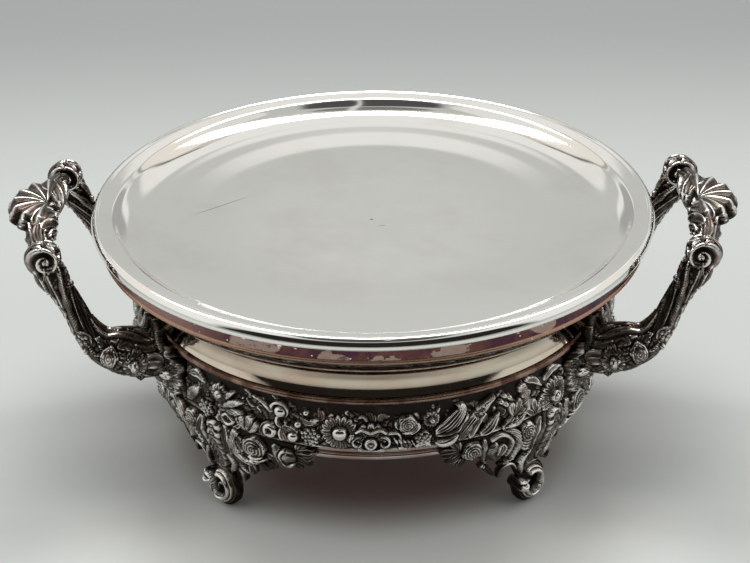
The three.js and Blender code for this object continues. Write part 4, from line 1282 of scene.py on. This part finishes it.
def knuckleBall():
    # ridges coil out of the arm and round the ball, up to an eye on each face
    size = {"radius": 9.2, "girth": 50.0, "span": 12.0, "step": 0.4, "depth": 2.5, "thick": 7.4, "sunk": 1.7,
            "armSide": -128, "pole": 88.5, "eye": (-2.6, 1.8)}
    girth, span, sunk = size["girth"], size["span"], size["sunk"]
    work = sleeve(girth, -span, span, size["step"], size["depth"])
    for s in (-1, 1):
        turns = np.linspace(-0.08, 1.75, 40)
        coil = np.column_stack([girth * turns, s * (2.6 + 4.6 * np.clip(turns, 0, 2) ** 1.05)])
        work.vine(coil, 1.9, 2.1, 0.5)
        work.cord([(0, s * 11.9), (girth / 2, s * 11.9), (girth, s * 11.9)], 1.5, 2.2, 0.8)
        for a, reach in ((26, 9.6), (33, 9.4), (40, 9.8)):
            work.leaf([(a, s * 0.6), (a + 2.6, s * 3), (a + 3.4, s * reach * 0.6)], 1.5, 1.7, 0.9)
    work.leaf([(2, 0), (girth * 0.3, 0), (girth * 0.62, 0)], 2.3, 1.3, 0.4, "fluted", ribs=2)
    middle = handle["knuckle"]

    def place(a, z, height):
        turn = math.radians(size["armSide"]) + 2 * math.pi * a / girth
        lift = z / span * math.radians(size["pole"])
        ring = np.cos(lift) * (size["radius"] - sunk + height)
        shift = np.sin(lift) ** 2
        return np.stack([middle[0] + ring * np.cos(turn) + shift * size["eye"][0],
                         middle[1] - np.sin(lift) * (size["thick"] - sunk + height),
                         middle[2] + ring * np.sin(turn) + shift * size["eye"][1]], -1)
    return work.solid(place)


grip = {"bow": 5.5, "arch": 3.0, "girth": 36.0, "step": 0.42, "depth": 1.5,
        # share of the way from the middle to the knuckle, of the bow and arch there, and the radius
        "bends": ((-0.92, 0.15, 5.2), (-0.72, 0.5, 4.3), (-0.5, 0.8, 5.2), (-0.25, 0.95, 5.9), (0, 1, 5.2),
                  (0.25, 0.95, 5.9), (0.5, 0.8, 5.2), (0.72, 0.5, 4.3), (0.92, 0.15, 5.2))}


def gripBar():
    reach, spread, height = handle["knuckle"]
    points = [(reach + grip["bow"] * share, spread * y, height + grip["arch"] * share)
              for y, share, radius in grip["bends"]]
    return Bar(points, [radius for y, share, radius in grip["bends"]], (-1, 0, 0.0001))


def gripRelief(bar):
    # a runs round from the top towards the dish
    girth, long = grip["girth"], bar.length
    work = sleeve(girth, 0, long, grip["step"], grip["depth"])
    work.fill(31, 60, 3, long - 3, size=6, lift=0.3, rise=1.2)
    for s in (-1, 1):
        along = lambda z: long / 2 + s * z
        leafAt = lambda points, *rest: work.leaf([(a, along(z)) for a, z in points], *rest)
        for i in range(6):
            a = girth * i / 6
            leafAt([(a, 40), (a + 1, 30), (a - 1, 20)], 2.6, 1.4, 0.5)
        # broad leaves that sweep up from below to the shell
        leafAt([(20, 24), (15, 12), (9, 5)], 4.0, 2.4, 0.8)
        leafAt([(-12, 27), (-8, 17), (-2, 8)], 4.2, 2.6, 0.8)
        leafAt([(-7, 30), (-3, 21), (3, 12)], 3.0, 2.4, 1.4)
        leafAt([(16, 29), (9, 19), (1, 8), (-2, 2)], 4.6, 3.0, 0.9)
        leafAt([(12, 33), (9, 25), (4, 17)], 2.4, 2.2, 2.2)
        leafAt([(28, 20), (26, 10), (22, 3)], 4.0, 1.4, 0.7, "ridged")
        work.vine(spiralLine((8.5, along(7.5)), 3.6, 1.4, 200, 200 + s * 340), 1.0, 1.5, 1.5)
        work.dome((8.5, along(7.5)), 1.3, 1.3, 1.4)
        for a, z in ((2, 33), (6, 35.5), (-3, 36), (10, 32), (-7, 33)):
            work.dome((a % girth, along(z)), 1.7, 1.7, 0.9)
        leafAt([(0, 30), (3, 25), (1, 19)], 2.2, 1.6, 1.2)
    return work


shell = {"hinge": 164.9, "hingeSlant": 3.0, "reach": 188.45, "half": 26.9, "lobes": 7, "stepsAcross": 26,
         "stepsOut": 44, "level": 132.4, "arch": 2.4, "highest": 137.85, "droop": 4.6, "sheet": 1.6,
         "roll": 2.6, "scallop": 0.15, "knobInset": 3.3, "knobLevel": 131.2, "knob": (3.5, 2.9, 3.1)}


def shellFan():
    # lobes that open from the grip, with ends that curl down
    turn, share = np.meshgrid(np.linspace(0, math.pi, shell["lobes"] * shell["stepsAcross"] + 1),
                              np.linspace(0, 1, shell["stepsOut"]), indexing="ij")
    part = (turn / math.pi * shell["lobes"]) % 1 - 0.5
    e = np.clip(np.abs(part) * 2, 0, 1)
    flutes = np.cos(4 * math.pi * part)
    out = (1 - shell["scallop"] * (1 - np.sqrt(1 - 0.98 * e ** 2))) * share ** 1.15
    ends = eased(share, 0.8, 1)
    arch = shell["arch"] * np.sin(math.pi * np.clip(share * 0.93 + 0.02, 0, 1)) ** 0.8
    swell = (1 - e ** 2) ** 0.5 * (0.5 + 2.4 * share) * (1 - 0.3 * ends)
    top = shell["level"] + arch + swell + 0.4 * flutes * share * (1 - ends) - shell["droop"] * ends ** 2
    top = np.minimum(top, shell["highest"])
    thick = shell["sheet"] + shell["roll"] * (1 - e ** 2) * np.sin(math.pi * share ** 4) ** 0.7
    hinge = shell["hinge"] + shell["hingeSlant"] * (1 - share)
    x = hinge + np.sin(turn) * (shell["reach"] - shell["hinge"]) * out
    upper = np.stack([x, -np.cos(turn) * shell["half"] * out, top], -1).reshape(-1, 3)
    lower = upper - thick.reshape(-1, 1) * (0, 0, 1)
    count = top.size
    number = np.arange(count).reshape(top.shape)
    front = np.stack([number[:-1, :-1], number[:-1, 1:], number[1:, 1:], number[1:, :-1]], -1)
    front = front.reshape(-1, 4)
    rim = np.concatenate([number[0], number[1:, -1], number[-1, -2::-1], number[-2:0:-1, 0]])
    following = np.roll(rim, -1)
    edge = np.stack([rim, following, following + count, rim + count], -1)
    wear = np.clip(0.05 + 0.6 * (1 - e ** 2) + 0.3 * flutes, 0, 1)
    wear = np.concatenate([wear.ravel(), np.full(count, 0.15)])
    return np.vstack([upper, lower]), np.vstack([front, front[:, ::-1] + count, edge]).tolist(), wear


def shellKnobs():
    # each lobe's end rolls over into a small knob
    turn = (np.arange(shell["lobes"]) + 0.5) / shell["lobes"] * math.pi
    reach = shell["reach"] - shell["hinge"] - shell["knobInset"]
    half = shell["half"] - shell["knobInset"]
    level = np.full(turn.shape, shell["knobLevel"])
    places = np.stack([shell["hinge"] + np.sin(turn) * reach, -np.cos(turn) * half, level], -1)
    normals = np.stack([np.sin(turn), -np.cos(turn), np.full(turn.shape, 0.7)], -1)
    return scattered(ball, places, normals, np.tile(shell["knob"], (len(turn), 1)))


def handles():
    work = bracketRelief()
    bracketParts = [work.solid(bracketPlace), berriesOf(work, bracketPlace)]
    bar = armBar()
    work, place = armRelief(bar), bar.place(handle["armGirth"])
    farArm = [work.solid(place), berriesOf(work, place), rootDaisy(), knuckleBall()]
    bar = gripBar()
    gripParts = [gripRelief(bar).solid(bar.place(grip["girth"]))]
    shellParts = [shellFan(), shellKnobs()]
    # the right side stays as it was worked
    for side, turn in (("right", list), ("left", turnedHalf)):
        castPiece("bracketCasting_" + side, ["bracket_" + side], turn(bracketParts))
        castPiece(f"armCasting_{side}_a", [f"arm_{side}_a"], turn(mirrored(farArm)))
        castPiece(f"armCasting_{side}_b", [f"arm_{side}_b"], turn(farArm))
        castPiece("gripCasting_" + side, ["grip_" + side], turn(gripParts))
        castPiece("shellCasting_" + side, ["shell_" + side], turn(shellParts))


handles()
print("handles made")

bpy.data.objects.remove(ball)

# Everything else keeps its own solid, with a better finish
slotFinish = {"silver": "satinSilver", "copper": "copperWire", "worn_plate": "wornPlate",
              "tinned": "tinnedCopper", "cast_silver": "castSilver"}
for part in frame["record"]["subparts"]:
    node = frame["nodes"][part["node"]]
    node.data.materials.clear()
    node.data.materials.append(finishes[slotFinish[part["material_slot"]]])


# Floor, lamps, room and camera, in metres
def layFloor():
    # greyer towards the back; painted light in front of the object, painted shade beside it, and a warm, dark
    # painted shadow and reflection under it
    size = {"half": 12.0, "near": (0.64, 0.66, 0.645), "middle": (0.49, 0.51, 0.50),
            "far": (0.295, 0.308, 0.304), "front": (0.95, 0.97, 0.95), "beside": (0.525, 0.54, 0.53),
            "under": (0.31, 0.225, 0.215), "distances": (-0.2, 0.2, 0.6), "paintedLightStart": (-0.06, -0.105),
            "paintedLightEnd": (-0.2, -0.13), "paintedLightAcross": (0.19, 0.12), "paintedShadeStart": (-0.07, -0.03),
            "paintedShadeReach": (0.22, 0.15), "paintedShadowReach": (0.07, 0.12)}
    half = size["half"]
    mesh = bpy.data.meshes.new("floor")
    corners = [(-half, -half, 0), (half, -half, 0), (half, half, 0), (-half, half, 0)]
    mesh.from_pydata(corners, [], [(0, 1, 2, 3)])
    paint = Finish("paleFloor", metallic=0.0)
    across, reach, aside = paint.coordinate("Y"), paint.reach(), paint.math("ABSOLUTE", paint.coordinate("X"))
    fade = lambda value, name, *ends: paint.between(value, *size[name], *ends)
    near, middle, far = size["distances"]
    colour = paint.blend(paint.between(across, near, middle), size["near"], size["middle"])
    colour = paint.blend(paint.between(across, middle, far), colour, size["far"])
    # painted light: a paler patch in front of the object that lifts its shadow
    front = paint.every(fade(across, "paintedLightStart"), fade(aside, "paintedLightAcross"), fade(across, "paintedLightEnd"))
    colour = paint.blend(front, colour, size["front"])
    # painted shade: darker close beside and behind the object
    beside = paint.every(fade(across, "paintedShadeStart"), fade(reach, "paintedShadeReach"))
    colour = paint.blend(beside, colour, size["beside"])
    # painted shadow: warm and dark under the object, with a painted reflection of the body
    colour = paint.blend(fade(reach, "paintedShadowReach", 1.0, 0.0), colour, size["under"])
    paint.set("Base Color", colour)
    paint.set("Roughness", 0.85)
    paint.set("Specular IOR Level", 0.1)
    linkPiece("floor", mesh, "paleFloor")


def facing(place, aim):
    # the turn of a lamp or camera that looks from a place at another
    return (Vector(aim) - Vector(place)).to_track_quat("-Z", "Y")


def hangLamps():
    # place, width and depth, power
    kinds = {"overhead": ((0.0, 0.5, 1.13), (1.5, 0.28), 13.5), "left": ((-1.3, 0.1, 0.9), (2.6, 2.4), 5.6),
             "right": ((1.4, 0.2, 0.8), (2.6, 2.4), 5.0)}
    for name, (place, size, power) in kinds.items():
        light = bpy.data.lights.new(name, "AREA")
        light.shape = "RECTANGLE"
        light.size, light.size_y = size
        light.energy = power
        lamp = bpy.data.objects.new(name, light)
        bpy.context.scene.collection.objects.link(lamp)
        lamp.location = place
        lamp.rotation_euler = facing(place, (0, 0, 0.1)).to_euler()


def paintRoom():
    # pale, with a bright wall behind, greyer sides, and dark things overhead and low down in front
    tone = {"pale": (0.62, 0.632, 0.62), "bright": (0.95, 0.95, 0.93), "side": (0.45, 0.455, 0.45),
            "corner": (0.68, 0.63, 0.57), "gap": (0.14, 0.13, 0.12), "ceiling": (0.22, 0.22, 0.215),
            "hood": (0.09, 0.09, 0.092), "lamp": (0.9, 0.9, 0.9), "low": (0.02, 0.018, 0.016)}
    world = bpy.data.worlds.new("room")
    bpy.context.scene.world = world
    world.use_nodes = True
    sky = Shading(world.node_tree, "Generated")
    every, between = sky.every, sky.between
    x, y, z = sky.math("ABSOLUTE", sky.coordinate("X")), sky.coordinate("Y"), sky.coordinate("Z")
    oval = lambda middle, half: between(sky.fromMiddle((*middle, 0), (*half, 1000)), 1.1, 0.9)
    aside = every(between(y, 0.68, 0.78), between(x, 0.2, 0.27))
    corner = every(between(x, 0.2, 0.26), between(z, 0.3, 0.34))
    above = between(z, 0.0, 0.1)
    colour = tone["pale"]
    for share, name in (
            (every(between(y, 0.1, 0.4), between(z, 0.505, 0.55)), "bright"),
            (every(aside, between(z, 0.31, 0.28)), "side"),
            (every(aside, between(z, 0.30, 0.33), between(z, 0.41, 0.38)), "bright"),
            (every(corner, between(y, 0.62, 0.61), between(y, 0.1, 0.2)), "corner"),
            (every(corner, between(y, 0.65, 0.635), between(y, 0.605, 0.62)), "gap"),
            (every(oval((0, 0.095), (0.2, 0.075)), above), "ceiling"),
            (every(oval((0, -0.37), (0.36, 0.335)), above), "hood"),
            (oval((0.06, -0.05), (0.014, 0.4)), "lamp"),
            (every(between(y, -0.40, -0.56), between(z, 0.64, 0.57)), "low")):
        colour = sky.blend(share, colour, tone[name])
    sky.put(sky.nodes["Background"].inputs["Color"], colour)


def cameraAndView():
    shot = {"place": (0.00073, -1.0106, 0.6342), "aim": (0.00073, 0, 0.0855), "lens": 104.86, "sensor": 36,
            "roll": -0.5}
    lens = bpy.data.cameras.new("camera")
    lens.lens = shot["lens"]
    lens.sensor_width = shot["sensor"]
    camera = bpy.data.objects.new("camera", lens)
    bpy.context.scene.collection.objects.link(camera)
    look = facing(shot["place"], shot["aim"]).to_matrix().to_4x4()
    camera.matrix_world = (Matrix.Translation(shot["place"]) @ look
                           @ Matrix.Rotation(math.radians(shot["roll"]), 4, "Z"))
    bpy.context.scene.camera = camera
    bpy.context.scene.view_settings.view_transform = "Standard"


layFloor()
hangLamps()
paintRoom()
cameraAndView()
print("stage made")
